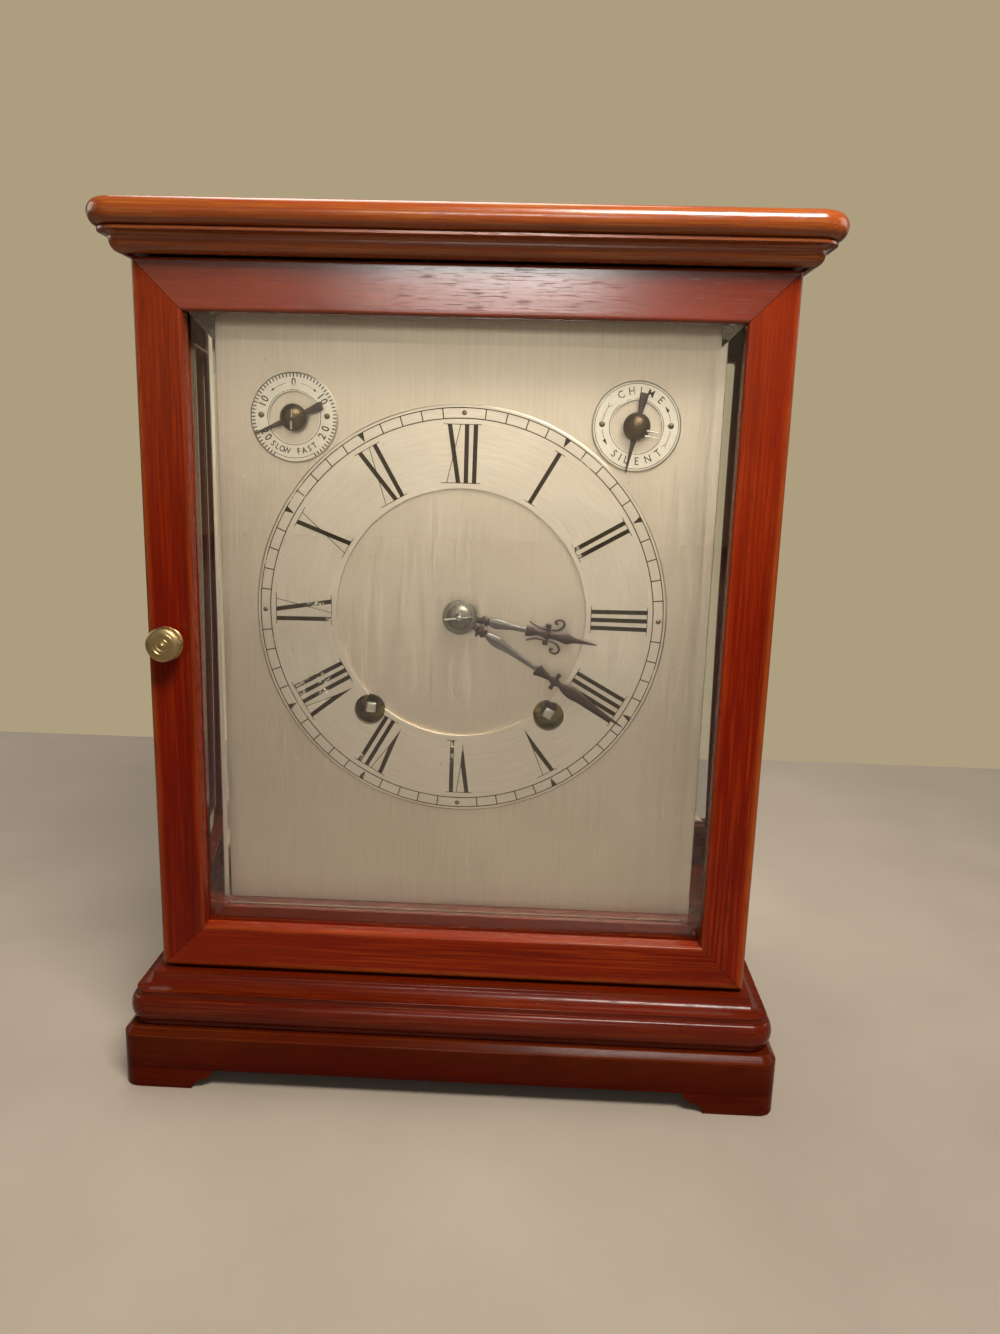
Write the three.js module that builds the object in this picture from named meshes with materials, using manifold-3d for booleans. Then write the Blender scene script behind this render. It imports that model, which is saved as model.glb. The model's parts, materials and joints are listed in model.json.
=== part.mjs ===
// Four glass mantel clock: a mahogany case with bevelled glass on all four sides, a silvered dial
// with a chapter ring and two small dials, and a two train movement with pendulum, hammer and gong.
// Millimetres, +Z up, the dial faces -Y, origin on the ground under the middle of the case.
import * as THREE from 'three';
import { mergeVertices } from 'three/addons/utils/BufferGeometryUtils.js';
import Module from 'manifold-3d';

const wasm = await Module();
wasm.setup();

// Fits shared by all pieces
const GLUE_GAP = 0.1;
const RUN_GAP = 0.3;
const PIVOT_GAP = 0.3;

// Case
const DOOR_WIDTH = 230;
const DOOR_HEIGHT = 266;
const DOOR_THICKNESS = 16;
const DOOR_CLEARANCE = 1.2;
const CASE_DEPTH = 150;
const MEMBER_WIDTH = 17.5;
const SIDE_MEMBER_WIDTH = 26;
const SIDE_THICKNESS = 14;
const OUTER_ARRIS = 3;
const INNER_ARRIS = 1.2;
const FOOT_HEIGHT = 8.3;
const FOOT_LENGTH = 27.6;
const FOOT_OGEE = 8.4;
const FOOT_THICKNESS = 18;
const FOOT_ROLL = 1.4;
const PLINTH_HEIGHT = 16;
const PLINTH_OVERHANG = 13;
const PLINTH_RAIL = 26;
const PLINTH_CHAMFER = 2.4;
const PLINTH_CORNER = 6.5;
const BASE_HEIGHT = 19.5;
const BASE_NECK = 2.1;
const BASE_TORUS_OVERHANG = 11.3;
const BASE_TORUS_HEIGHT = 9.9;
const BASE_TORUS_BULGE = 2.4;
const BASE_QUIRK = 2.1;
const BASE_FILLET_OVERHANG = 2.5;
const CORNICE_HEIGHT = 15.8;
const CORNICE_OVERHANG = 12.7;
const CORNICE_NOSE = 8.8;
const CORNICE_OVOLO = 4;
const CORNICE_COVE = 3.3;
const CORNICE_STEP = 0.4;
const CORNICE_FILLET_OVERHANG = 2.2;
const CORNER_INSET = 3.5;
const SILL_DEPTH = 12;
const SILL_HEIGHT = 22.6;

// Glass and the beads that hold it
const GLASS_THICKNESS = 4;
const GLASS_LAP = 5;
const GLASS_CLEARANCE = 0.3;
const BEVEL_WIDTH = 13.5;
const BEVEL_DROP = 2.9;
const SIGHT_DEPTH = 6;
const BEAD_HEIGHT = 4.8;
const BEAD_ROUND = 3.6;

// Door hinges and turning catches
const HINGE_HEIGHT = 24;
const HINGE_SPREAD = 168;
const LEAF_WIDTH = 10;
const LEAF_THICKNESS = 1.1;
const KNUCKLE_RADIUS = 1.8;
const HINGE_PIN_RADIUS = 0.8;
const KNOB_RADIUS = 6.4;
const KNOB_HEIGHT = 9.7;
const KNOB_RISE = 132.9;
const SPINDLE_RADIUS = 2;
const CAM_LENGTH = 8;
const CAM_WIDTH = 4;
const CAM_THICKNESS = 2.2;
const CATCH_LIP = 2.6;
const CATCH_CLEARANCE = 0.6;

// Dial
const DIAL_SETBACK = 22;
const DIAL_WIDTH = 185.4;
const DIAL_HEADROOM = 12.3;
const DIAL_RISE = 113;
const DIAL_THICKNESS = 1.5;
const RING_OUTER = 78.8;
const RING_INNER = 48;
const RING_THICKNESS = 1.1;
const WINDING_X = 35.2;
const WINDING_DROP = 38.6;
const WINDING_HOLE = 6;
const SMALL_DIAL_X = 63.35;
const SMALL_DIAL_RISE = 72.25;
const SMALL_RING_OUTER = 16.4;
const SMALL_RING_INNER = 9.6;
const DIAL_FOOT_X = 52;
const DIAL_FOOT_RISE = 50;
const DIAL_FOOT_RADIUS = 2.5;

// Hands, with the clock standing at about twenty past three
const HAND_THICKNESS = 1;
const HOUR_HAND_LENGTH = 53.5;
const HOUR_HAND_ANGLE = 100.3;
const MINUTE_HAND_LENGTH = 75.9;
const MINUTE_HAND_ANGLE = 122.8;
const HAND_BOSS = 6;
const COLLET_RADIUS = 6.6;
const COLLET_HEIGHT = 2.4;
const SMALL_HAND_LENGTH = 16.6;
const SMALL_HAND_TAIL = 11.6;
const SMALL_BOSS = 5;
const RATE_HAND_ANGLE = 247;
const CHIME_HAND_ANGLE = 191;

// Movement
const DIAL_TO_PLATE = 13.5;
const PLATE_THICKNESS = 2.5;
const PLATE_WIDTH = 136;
const PLATE_TOP_RISE = 64;
const PLATE_BOTTOM_DROP = 71;
const PILLAR_RADIUS = 4;
const PILLAR_INSET = 9;
const SEAT_THICKNESS = 8;
const SEAT_WIDTH = 108;
const ARBOR_RADIUS = 1.6;
const FINE_ARBOR_RADIUS = 0.8;
const PIVOT_SHARE = 0.6;
const END_SHAKE = 0.4;
const WHEEL_THICKNESS = 1.6;
const WINDING_ARBOR_RADIUS = 3.4;
const WINDING_SQUARE = 4.6;
const WINDING_TIP_RECESS = 2;
const DRUM_RADIUS = 24;
const DRUM_CLEARANCE = 7.5;
const GREAT_TEETH = 60;
const GREAT_MODULE = 0.96;
const GREAT_PINION_LEAVES = 8;
const INTERMEDIATE_TEETH = 40;
const INTERMEDIATE_MODULE = 1;
const CENTRE_PINION_LEAVES = 8;
const CENTRE_TEETH = 72;
const CENTRE_MODULE = 0.55;
const THIRD_PINION_LEAVES = 6;
const THIRD_TEETH = 72;
const THIRD_MODULE = 0.5;
const ESCAPE_PINION_LEAVES = 6;
const THIRD_ARBOR_X = 12.5;
const ESCAPE_TEETH = 32;
const ESCAPE_RADIUS = 13;
const MOTION_MODULE = 0.8;
const CANNON_LEAVES = 10;
const MINUTE_WHEEL_TEETH = 30;
const MINUTE_PINION_LEAVES = 8;
const HOUR_WHEEL_TEETH = 32;
const MINUTE_STUD_ANGLE = 135;
const CANNON_PIPE_RADIUS = 2.6;
const HOUR_PIPE_RADIUS = 4;
const PENDULUM_CLEARANCE = 18.5;
const PENDULUM_ROD_RADIUS = 1.1;
const BOB_RADIUS = 19;
const BOB_THICKNESS = 8;
const PENDULUM_SETBACK = 9;
const CRUTCH_CLEARANCE = 0.8;
const GONG_RADIUS = 40;
const GONG_WIRE = 3;
const GONG_TURNS = 3.5;
const GONG_PITCH = 6.4;
const GONG_SETBACK = 24;
const GONG_BACK_CLEARANCE = 22.2;
const GONG_RISE = 65.2;
const GONG_SIDES = 6;
const HAMMER_X = 48;
const HAMMER_DROP = 22;
const HAMMER_HEAD_RADIUS = 4.5;

// Heights and planes that follow from the sizes above
const plinthBottom = FOOT_HEIGHT + GLUE_GAP;
const plinthTop = plinthBottom + PLINTH_HEIGHT;
const baseBottom = plinthTop + GLUE_GAP;
const baseTop = baseBottom + BASE_HEIGHT;
const carcassBottom = baseTop + GLUE_GAP;
const carcassHeight = DOOR_HEIGHT + 2 * DOOR_CLEARANCE;
const carcassMiddle = carcassBottom + carcassHeight / 2;
const corniceBottom = carcassBottom + carcassHeight + GLUE_GAP;
const doorFront = -CASE_DEPTH / 2;
const doorBack = doorFront + DOOR_THICKNESS;
const carcassFront = doorBack + RUN_GAP;
const halfWidth = DOOR_WIDTH / 2;
const innerWall = halfWidth - SIDE_THICKNESS;
const rebateInset = MEMBER_WIDTH - GLASS_LAP - GLASS_CLEARANCE;
const dialFront = doorFront + DIAL_SETBACK;
const dialBack = dialFront + DIAL_THICKNESS;
const dialTop = corniceBottom - DIAL_HEADROOM;
const dialCentre = dialTop - DIAL_RISE;
const sillTop = carcassBottom + SILL_HEIGHT;
const dialBottom = sillTop + GLUE_GAP;
const plateFront = dialBack + DIAL_TO_PLATE;
const plateBack = plateFront + PLATE_THICKNESS;
const gongPlane = -carcassFront - GONG_BACK_CLEARANCE;
const rearPlateBack = gongPlane - GONG_SETBACK;
const rearPlateFront = rearPlateBack - PLATE_THICKNESS;
const plateSpacing = rearPlateFront - plateBack;

// Workshop helpers

const radians = THREE.MathUtils.degToRad;

// Points of a circular arc, both ends included.
function arc(x, y, radius, from, to, steps) {
  const points = [];
  for (let i = 0; i <= steps; i += 1) {
    const angle = radians(from + ((to - from) * i) / steps);
    points.push([x + radius * Math.cos(angle), y + radius * Math.sin(angle)]);
  }
  return points;
}

// The same closed surface with every face pointing out.
function outward(geometry) {
  const position = geometry.getAttribute('position');
  const index = geometry.getIndex().array;
  const a = new THREE.Vector3();
  const b = new THREE.Vector3();
  const c = new THREE.Vector3();
  let volume = 0;
  for (let i = 0; i < index.length; i += 3) {
    a.fromBufferAttribute(position, index[i]);
    b.fromBufferAttribute(position, index[i + 1]);
    c.fromBufferAttribute(position, index[i + 2]);
    volume += a.dot(b.cross(c));
  }
  if (volume < 0) {
    for (let i = 0; i < index.length; i += 3) {
      [index[i + 1], index[i + 2]] = [index[i + 2], index[i + 1]];
    }
  }
  return geometry;
}

// A closed surface whose shared corners are merged.
function welded(geometry) {
  const bare = geometry.clone();
  bare.deleteAttribute('normal');
  bare.deleteAttribute('uv');
  return outward(mergeVertices(bare, 1e-5));
}

function solid(geometry) {
  const closed = welded(geometry);
  const vertProperties = new Float32Array(closed.getAttribute('position').array);
  const triVerts = new Uint32Array(closed.getIndex().array);
  return new wasm.Manifold(new wasm.Mesh({ numProp: 3, vertProperties, triVerts }));
}

function geometryOf(manifold) {
  const mesh = manifold.getMesh();
  const positions = new Float32Array(mesh.vertProperties);
  const geometry = new THREE.BufferGeometry();
  geometry.setAttribute('position', new THREE.BufferAttribute(positions, 3));
  geometry.setIndex(new THREE.BufferAttribute(new Uint32Array(mesh.triVerts), 1));
  return geometry;
}

function joined(...geometries) {
  const solids = geometries.map(solid);
  return geometryOf(solids.reduce((whole, next) => whole.add(next)));
}

function cut(geometry, ...tools) {
  const solids = tools.map(solid);
  return geometryOf(solids.reduce((whole, tool) => whole.subtract(tool), solid(geometry)));
}

function common(geometry, other) {
  return geometryOf(solid(geometry).intersect(solid(other)));
}

function box(x, y, z) {
  const geometry = new THREE.BoxGeometry(x[1] - x[0], y[1] - y[0], z[1] - z[0]);
  return geometry.translate((x[0] + x[1]) / 2, (y[0] + y[1]) / 2, (z[0] + z[1]) / 2);
}

// A flat piece standing in the plane of the dial: its outline is drawn in x and z.
function upright(shape, front, thickness, curveSegments = 12) {
  const settings = { depth: thickness, bevelEnabled: false, curveSegments, steps: 1 };
  const geometry = new THREE.ExtrudeGeometry(shape, settings);
  return geometry.rotateX(Math.PI / 2).translate(0, front + thickness, 0);
}

// A turned piece whose axis runs front to back: the profile is [radius, y].
function turned(profile, x, z, segments = 24) {
  const points = profile.map(([radius, y]) => new THREE.Vector2(radius, y));
  return new THREE.LatheGeometry(points, segments).translate(x, 0, z);
}

function rod(radius, front, back, x, z, segments = 16) {
  return turned([[0, front], [radius, front], [radius, back], [0, back]], x, z, segments);
}

function rectangleShape(left, right, bottom, top) {
  const corners = [[left, bottom], [right, bottom], [right, top], [left, top]];
  return new THREE.Shape(corners.map(([x, z]) => new THREE.Vector2(x, z)));
}

function circlePath(x, z, radius) {
  return new THREE.Path().absarc(x, z, radius, 0, 2 * Math.PI, false);
}

// A surface through equal loops of points. With a cap outline its two ends are closed,
// and without one the last loop joins the first.
function skin(loops, capOutline) {
  const count = loops[0].length;
  const vertices = loops.flat().flatMap((point) => [point.x, point.y, point.z]);
  const index = [];
  const spans = capOutline ? loops.length - 1 : loops.length;
  for (let k = 0; k < spans; k += 1) {
    const here = k * count;
    const there = ((k + 1) % loops.length) * count;
    for (let i = 0; i < count; i += 1) {
      const j = (i + 1) % count;
      index.push(here + i, here + j, there + j, here + i, there + j, there + i);
    }
  }
  if (capOutline) {
    const outline = capOutline.map(([u, v]) => new THREE.Vector2(u, v));
    const last = (loops.length - 1) * count;
    const clockwise = THREE.ShapeUtils.isClockWise(outline);
    for (const [a, b, c] of THREE.ShapeUtils.triangulateShape(outline, [])) {
      const [p, q] = clockwise ? [c, b] : [b, c];
      index.push(a, q, p, last + a, last + p, last + q);
    }
  }
  const geometry = new THREE.BufferGeometry();
  geometry.setAttribute('position', new THREE.Float32BufferAttribute(vertices, 3));
  geometry.setIndex(index);
  return outward(geometry);
}

// One rectangle with rounded corners, as a level loop of points.
function roundedLoop(halfX, halfY, radius, z, steps = 3) {
  const quarter = [[1, 1, 0], [-1, 1, 90], [-1, -1, 180], [1, -1, 270]];
  return quarter.flatMap(([sx, sy, from]) => {
    const x = sx * (halfX - radius);
    const y = sy * (halfY - radius);
    return arc(x, y, radius, from, from + 90, steps).map(([u, v]) => new THREE.Vector3(u, v, z));
  });
}

// A board whose edge is worked to a moulding: the profile is [overhang, z] past the door planes,
// and the corners are rounded more where the moulding stands out further.
function mouldedBoard(profile, cornerRadius) {
  const loops = profile.map(([overhang, z]) => {
    const radius = cornerRadius(overhang);
    return roundedLoop(halfWidth + overhang, CASE_DEPTH / 2 + overhang, radius, z);
  });
  return skin(loops, loops[0].map((point) => [point.x, point.y]));
}

// A section of [inset, depth] points carried round a rectangle with mitred corners.
function mitredFrame(width, height, section, place) {
  const corners = [[-1, -1], [1, -1], [1, 1], [-1, 1]];
  return skin(corners.map(([a, b]) => section.map(([inset, depth]) => (
    place(a * (width / 2 - inset), b * (height / 2 - inset), depth)
  ))));
}

// One side of such a frame, cut at forty five degrees at both ends.
function mitredMember(width, height, section, start, end, place) {
  const along = [Math.sign(end[0] - start[0]), Math.sign(end[1] - start[1])];
  const loops = [start, end].map(([a, b], which) => section.map(([inset, depth]) => {
    const pull = which === 0 ? GLUE_GAP : -GLUE_GAP;
    const u = a * (width / 2 - inset) + along[0] * pull;
    const v = b * (height / 2 - inset) + along[1] * pull;
    return place(u, v, depth);
  }));
  return skin(loops, section);
}

// A plate of glass with a wide bevel worked round its outer face.
function bevelledGlass(width, height, place) {
  const loop = (shrink, depth) => [[-1, -1], [1, -1], [1, 1], [-1, 1]].map(([a, b]) => (
    place(a * (width / 2 - shrink), b * (height / 2 - shrink), depth)
  ));
  const loops = [loop(BEVEL_WIDTH, 0), loop(0, BEVEL_DROP), loop(0, GLASS_THICKNESS)];
  return skin(loops, [[-1, -1], [1, -1], [1, 1], [-1, 1]]);
}

// Materials
const finish = (color, roughness, metalness = 0) => (
  new THREE.MeshStandardMaterial({ color, roughness, metalness })
);
const mahogany = finish('#6e2413', 0.32);
const brass = finish('#a9803a', 0.35, 1);
const clearGlass = finish('#dfe8e6', 0.03);
clearGlass.transparent = true;
clearGlass.opacity = 0.25;
const silvered = finish('#b9b3a4', 0.38, 0.8);
const darkSteel = finish('#332a2c', 0.35, 0.9);
const bronze = finish('#4c3324', 0.4, 0.9);
const brightSteel = finish('#a9a7a2', 0.28, 1);

const clock = new THREE.Group();

function add(name, geometry, material) {
  const mesh = new THREE.Mesh(geometry, material);
  mesh.name = name;
  clock.add(mesh);
  return mesh;
}

// Case

const outerHalfX = halfWidth + PLINTH_OVERHANG;
const outerHalfY = CASE_DEPTH / 2 + PLINTH_OVERHANG;

// Bracket feet: two short legs that meet at the corner, each ending in an ogee.
const footLeg = new THREE.Shape()
  .moveTo(0, 0)
  .lineTo(FOOT_LENGTH, 0)
  .bezierCurveTo(
    FOOT_LENGTH, FOOT_HEIGHT / 2,
    FOOT_LENGTH + FOOT_OGEE, FOOT_HEIGHT / 2,
    FOOT_LENGTH + FOOT_OGEE, FOOT_HEIGHT,
  )
  .lineTo(0, FOOT_HEIGHT);
const legAlongX = upright(footLeg, 0, FOOT_THICKNESS, 8);
const swapSides = new THREE.Matrix4().set(0, 1, 0, 0, 1, 0, 0, 0, 0, 0, 1, 0, 0, 0, 0, 1);
const footCorner = joined(legAlongX, legAlongX.clone().applyMatrix4(swapSides));
const footOutline = [[-FOOT_ROLL, 0], [0, 2 * FOOT_ROLL], [0, FOOT_HEIGHT]].map(([grow, z]) => (
  roundedLoop(outerHalfX + grow, outerHalfY + grow, PLINTH_CORNER, z)
));
const footBlock = skin(footOutline, footOutline[0].map((point) => [point.x, point.y]));
for (const [end, sy] of [['front', -1], ['back', 1]]) {
  for (const [hand, sx] of [['left', -1], ['right', 1]]) {
    const corner = footCorner.clone().scale(-sx, -sy, 1);
    corner.translate(sx * outerHalfX, sy * outerHalfY, 0);
    add(`foot_${end}_${hand}`, common(corner, footBlock), mahogany);
  }
}

// Plinth: a flat frame, open underneath, with its top edge chamfered.
const plinthProfile = [
  [PLINTH_OVERHANG, plinthBottom],
  [PLINTH_OVERHANG, plinthTop - PLINTH_CHAMFER],
  [PLINTH_OVERHANG - PLINTH_CHAMFER, plinthTop],
];
const plinthBoard = mouldedBoard(plinthProfile, (overhang) => PLINTH_CORNER - PLINTH_OVERHANG + overhang);
const plinthWell = box(
  [PLINTH_RAIL - outerHalfX, outerHalfX - PLINTH_RAIL],
  [PLINTH_RAIL - outerHalfY, outerHalfY - PLINTH_RAIL],
  [plinthBottom - 1, plinthTop + 1],
);
add('plinth', cut(plinthBoard, plinthWell), mahogany);

const mouldingCorner = (overhang) => Math.max(1, overhang - CORNER_INSET);

// Base moulding: neck, torus, quirk and cavetto, worked on the board that closes the case below.
const torusMiddle = baseBottom + BASE_NECK + BASE_TORUS_HEIGHT / 2;
const torusSeat = BASE_TORUS_OVERHANG - BASE_TORUS_BULGE;
const cavettoFoot = torusMiddle + BASE_TORUS_HEIGHT / 2 + BASE_QUIRK;
const cavettoTop = baseTop - BASE_QUIRK / 3;
const torusCurve = arc(0, 0, 1, -90, 90, 6).map(([c, s]) => (
  [torusSeat + c * BASE_TORUS_BULGE, torusMiddle + s * BASE_TORUS_HEIGHT / 2]
));
const cavettoCurve = arc(0, 0, 1, -90, -180, 6).map(([c, s]) => (
  [torusSeat + c * (torusSeat - BASE_FILLET_OVERHANG), cavettoTop + s * (cavettoTop - cavettoFoot)]
));
const baseProfile = [
  [torusSeat, baseBottom],
  ...torusCurve,
  ...cavettoCurve,
  [BASE_FILLET_OVERHANG, baseTop],
];
add('base_moulding', mouldedBoard(baseProfile, mouldingCorner), mahogany);

// Cornice: ovolo, cove and a round nose, worked on the board that closes the case above.
const corniceTop = corniceBottom + CORNICE_HEIGHT;
const noseMiddle = corniceTop - CORNICE_NOSE / 2;
const noseSeat = CORNICE_OVERHANG - CORNICE_OVOLO;
const coveFoot = corniceBottom + CORNICE_OVOLO;
const coveStep = coveFoot + CORNICE_STEP;
const coveStart = CORNICE_FILLET_OVERHANG + CORNICE_OVOLO;
const coveTop = corniceTop - CORNICE_NOSE - CORNICE_FILLET_OVERHANG / 3;
const ovoloCurve = arc(CORNICE_FILLET_OVERHANG, coveFoot, CORNICE_OVOLO, -90, 0, 5);
const coveCurve = arc(0, 0, 1, 180, 90, 4).map(([c, s]) => (
  [coveStart + (1 + c) * CORNICE_COVE, coveStep + s * (coveTop - coveStep)]
));
const noseCurve = arc(0, 0, 1, -90, 90, 6).map(([c, s]) => (
  [noseSeat + c * CORNICE_OVOLO, noseMiddle + s * CORNICE_NOSE / 2]
));
const filletTop = [coveStart + CORNICE_COVE, corniceTop - CORNICE_NOSE];
const corniceProfile = [...ovoloCurve, ...coveCurve, filletTop, ...noseCurve];
add('cornice', mouldedBoard(corniceProfile, mouldingCorner), mahogany);

// Hinge places, shared by the leaves and by the mortises that take them.
const hingeX = halfWidth + KNUCKLE_RADIUS + RUN_GAP;
const hingeY = (doorBack + carcassFront) / 2;
const hingeMiddles = { lower: carcassMiddle - HINGE_SPREAD / 2, upper: carcassMiddle + HINGE_SPREAD / 2 };
const mirrorDepth = (geometry, side) => (side < 0 ? geometry : outward(geometry.scale(1, -1, 1)));

function hingeMortises(near, far, side) {
  return Object.values(hingeMiddles).map((middle) => mirrorDepth(box(
    [halfWidth - LEAF_WIDTH - GLUE_GAP, halfWidth + 1],
    [near, far],
    [middle - HINGE_HEIGHT / 2 - GLUE_GAP, middle + HINGE_HEIGHT / 2 + GLUE_GAP],
  ), side));
}

// Catch places: the knob sits in the middle of the left stile, and its cam turns in a pocket.
const knobX = MEMBER_WIDTH / 2 - halfWidth;
const knobZ = carcassBottom + KNOB_RISE;
const camFront = carcassFront + CATCH_LIP + CATCH_CLEARANCE;
const pocketBack = camFront + CAM_THICKNESS + CATCH_CLEARANCE;
const camReach = CAM_LENGTH / 2 + CATCH_CLEARANCE;
const camHalf = CAM_WIDTH / 2 + CATCH_CLEARANCE;

function catchPocket(side) {
  const rows = [knobZ - camReach, knobZ + camReach];
  const slot = box([knobX - camHalf, knobX + camHalf], [carcassFront - 1, pocketBack], rows);
  const pocket = box([knobX - camReach, knobX + camReach], [carcassFront + CATCH_LIP, pocketBack], rows);
  return mirrorDepth(joined(slot, pocket), side);
}

// Side frames: four mitred members round a grooved opening, glued up round the glass.
const sideWidth = -2 * carcassFront;
const grooveFront = (SIDE_THICKNESS - GLASS_THICKNESS) / 2 - 2 * GLUE_GAP;
const grooveBack = grooveFront + GLASS_THICKNESS + 4 * GLUE_GAP;
const sideRebate = SIDE_MEMBER_WIDTH - GLASS_LAP - GLASS_CLEARANCE;
const sideSection = [
  ...arc(SIDE_MEMBER_WIDTH - INNER_ARRIS, INNER_ARRIS, INNER_ARRIS, 270, 360, 3),
  [SIDE_MEMBER_WIDTH, grooveFront],
  [sideRebate, grooveFront],
  [sideRebate, grooveBack],
  [SIDE_MEMBER_WIDTH, grooveBack],
  [SIDE_MEMBER_WIDTH, SIDE_THICKNESS],
  [0, SIDE_THICKNESS],
  [0, INNER_ARRIS],
  [INNER_ARRIS, 0],
];
const sideGlassInset = 2 * (sideRebate + GLASS_CLEARANCE);
for (const [hand, sx] of [['left', -1], ['right', 1]]) {
  const place = (u, v, depth) => new THREE.Vector3(sx * (halfWidth - depth), u, carcassMiddle + v);
  const glassPlace = (u, v, depth) => place(u, v, grooveFront + 2 * GLUE_GAP + depth);
  const frame = mitredFrame(sideWidth, carcassHeight, sideSection, place);
  const leafBack = carcassFront + LEAF_THICKNESS + GLUE_GAP;
  const cuts = [-1, 1].flatMap((side) => (
    sx > 0 ? hingeMortises(carcassFront - 1, leafBack, side) : [catchPocket(side)]
  ));
  add(`side_frame_${hand}`, cut(frame, ...cuts), mahogany);
  const pane = bevelledGlass(sideWidth - sideGlassInset, carcassHeight - sideGlassInset, glassPlace);
  add(`side_glass_${hand}`, pane, clearGlass);
}

// Sill: the block across the bottom of the opening that the dial stands on.
const sill = box(
  [GLUE_GAP - innerWall, innerWall - GLUE_GAP],
  [carcassFront, carcassFront + SILL_DEPTH],
  [carcassBottom, sillTop],
);
add('dial_sill', sill, mahogany);

// Doors

const doorSection = [
  ...arc(OUTER_ARRIS, OUTER_ARRIS, OUTER_ARRIS, 180, 270, 4),
  ...arc(MEMBER_WIDTH - INNER_ARRIS, INNER_ARRIS, INNER_ARRIS, 270, 360, 3),
  [MEMBER_WIDTH, SIGHT_DEPTH],
  [rebateInset, SIGHT_DEPTH],
  [rebateInset, DOOR_THICKNESS],
  [0, DOOR_THICKNESS],
];
const glassInset = 2 * (rebateInset + GLASS_CLEARANCE);
const doorGlassDepth = SIGHT_DEPTH + GLUE_GAP;
const beadDepth = doorGlassDepth + GLASS_THICKNESS + GLUE_GAP;
const beadOuter = rebateInset + GLUE_GAP;
const beadInner = MEMBER_WIDTH - GLASS_CLEARANCE;
const beadSection = [
  [beadOuter, beadDepth],
  [beadInner, beadDepth],
  ...arc(beadInner - BEAD_ROUND, beadDepth + BEAD_HEIGHT - BEAD_ROUND, BEAD_ROUND, 0, 90, 4),
  [beadOuter, beadDepth + BEAD_HEIGHT],
];
const leafSeat = doorBack - LEAF_THICKNESS - GLUE_GAP;
const spindleBore = (side) => mirrorDepth(
  rod(SPINDLE_RADIUS + RUN_GAP, doorFront - 1, doorBack + 1, knobX, knobZ),
  side,
);

// A pivot standing upright: the profile is [radius, z].
function standing(profile, x, y, segments = 10) {
  const points = profile.map(([radius, z]) => new THREE.Vector2(radius, z));
  return new THREE.LatheGeometry(points, segments).rotateX(Math.PI / 2).translate(x, y, 0);
}

function post(radius, bottom, top, x, y, segments) {
  return standing([[0, bottom], [radius, bottom], [radius, top], [0, top]], x, y, segments);
}

// One butt hinge: the door leaf has the middle knuckle, and the case leaf the outer two and the pin.
function hingeLeaves(middle) {
  const bottom = middle - HINGE_HEIGHT / 2;
  const top = middle + HINGE_HEIGHT / 2;
  const knuckle = HINGE_HEIGHT / 3;
  const leaf = (front) => (
    box([halfWidth - LEAF_WIDTH, halfWidth], [front, front + LEAF_THICKNESS], [bottom, top])
  );
  const tongue = (front, low, high) => (
    box([halfWidth - 1, hingeX], [front, front + LEAF_THICKNESS], [low, high])
  );
  const barrel = (low, high) => post(KNUCKLE_RADIUS, low, high, hingeX, hingeY);
  const innerLow = bottom + knuckle + RUN_GAP / 2;
  const innerHigh = top - knuckle - RUN_GAP / 2;
  const outerLow = bottom + knuckle - RUN_GAP / 2;
  const outerHigh = top - knuckle + RUN_GAP / 2;
  const doorFace = doorBack - LEAF_THICKNESS;
  const doorLeaf = cut(
    joined(leaf(doorFace), tongue(doorFace, innerLow, innerHigh), barrel(innerLow, innerHigh)),
    post(HINGE_PIN_RADIUS + RUN_GAP, bottom, top, hingeX, hingeY),
  );
  const caseLeaf = joined(
    leaf(carcassFront),
    tongue(carcassFront, bottom, outerLow),
    tongue(carcassFront, outerHigh, top),
    barrel(bottom, outerLow),
    barrel(outerHigh, top),
    post(HINGE_PIN_RADIUS, bottom + 1, top - 1, hingeX, hingeY),
  );
  return { door: doorLeaf, case: caseLeaf };
}

// Turning catch: a ringed brass knob on a spindle, with the cam riveted to its end.
function turningCatch() {
  const out = (rise) => doorFront - rise * KNOB_HEIGHT;
  const knob = turned([
    [0, out(1)],
    [KNOB_RADIUS * 0.16, out(0.98)],
    [KNOB_RADIUS * 0.25, out(0.9)],
    [KNOB_RADIUS * 0.5, out(0.92)],
    [KNOB_RADIUS * 0.58, out(0.86)],
    [KNOB_RADIUS * 0.75, out(0.88)],
    [KNOB_RADIUS, out(0.78)],
    [KNOB_RADIUS, out(0.47)],
    [KNOB_RADIUS * 0.84, out(0.4)],
    [KNOB_RADIUS * 0.5, out(0.33)],
    [KNOB_RADIUS * 0.47, out(0.2)],
    [KNOB_RADIUS * 0.78, out(0.1)],
    [KNOB_RADIUS * 0.78, doorFront - RUN_GAP],
    [SPINDLE_RADIUS, doorFront - RUN_GAP],
    [SPINDLE_RADIUS, camFront + CAM_THICKNESS],
    [0, camFront + CAM_THICKNESS],
  ], knobX, knobZ, 16);
  const half = CAM_WIDTH / 2;
  const reach = CAM_LENGTH / 2 - half;
  const cam = new THREE.Shape()
    .absarc(knobX, knobZ + reach, half, 0, Math.PI, false)
    .absarc(knobX, knobZ - reach, half, Math.PI, 2 * Math.PI, false);
  return joined(knob, upright(cam, camFront, CAM_THICKNESS, 3));
}

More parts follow.
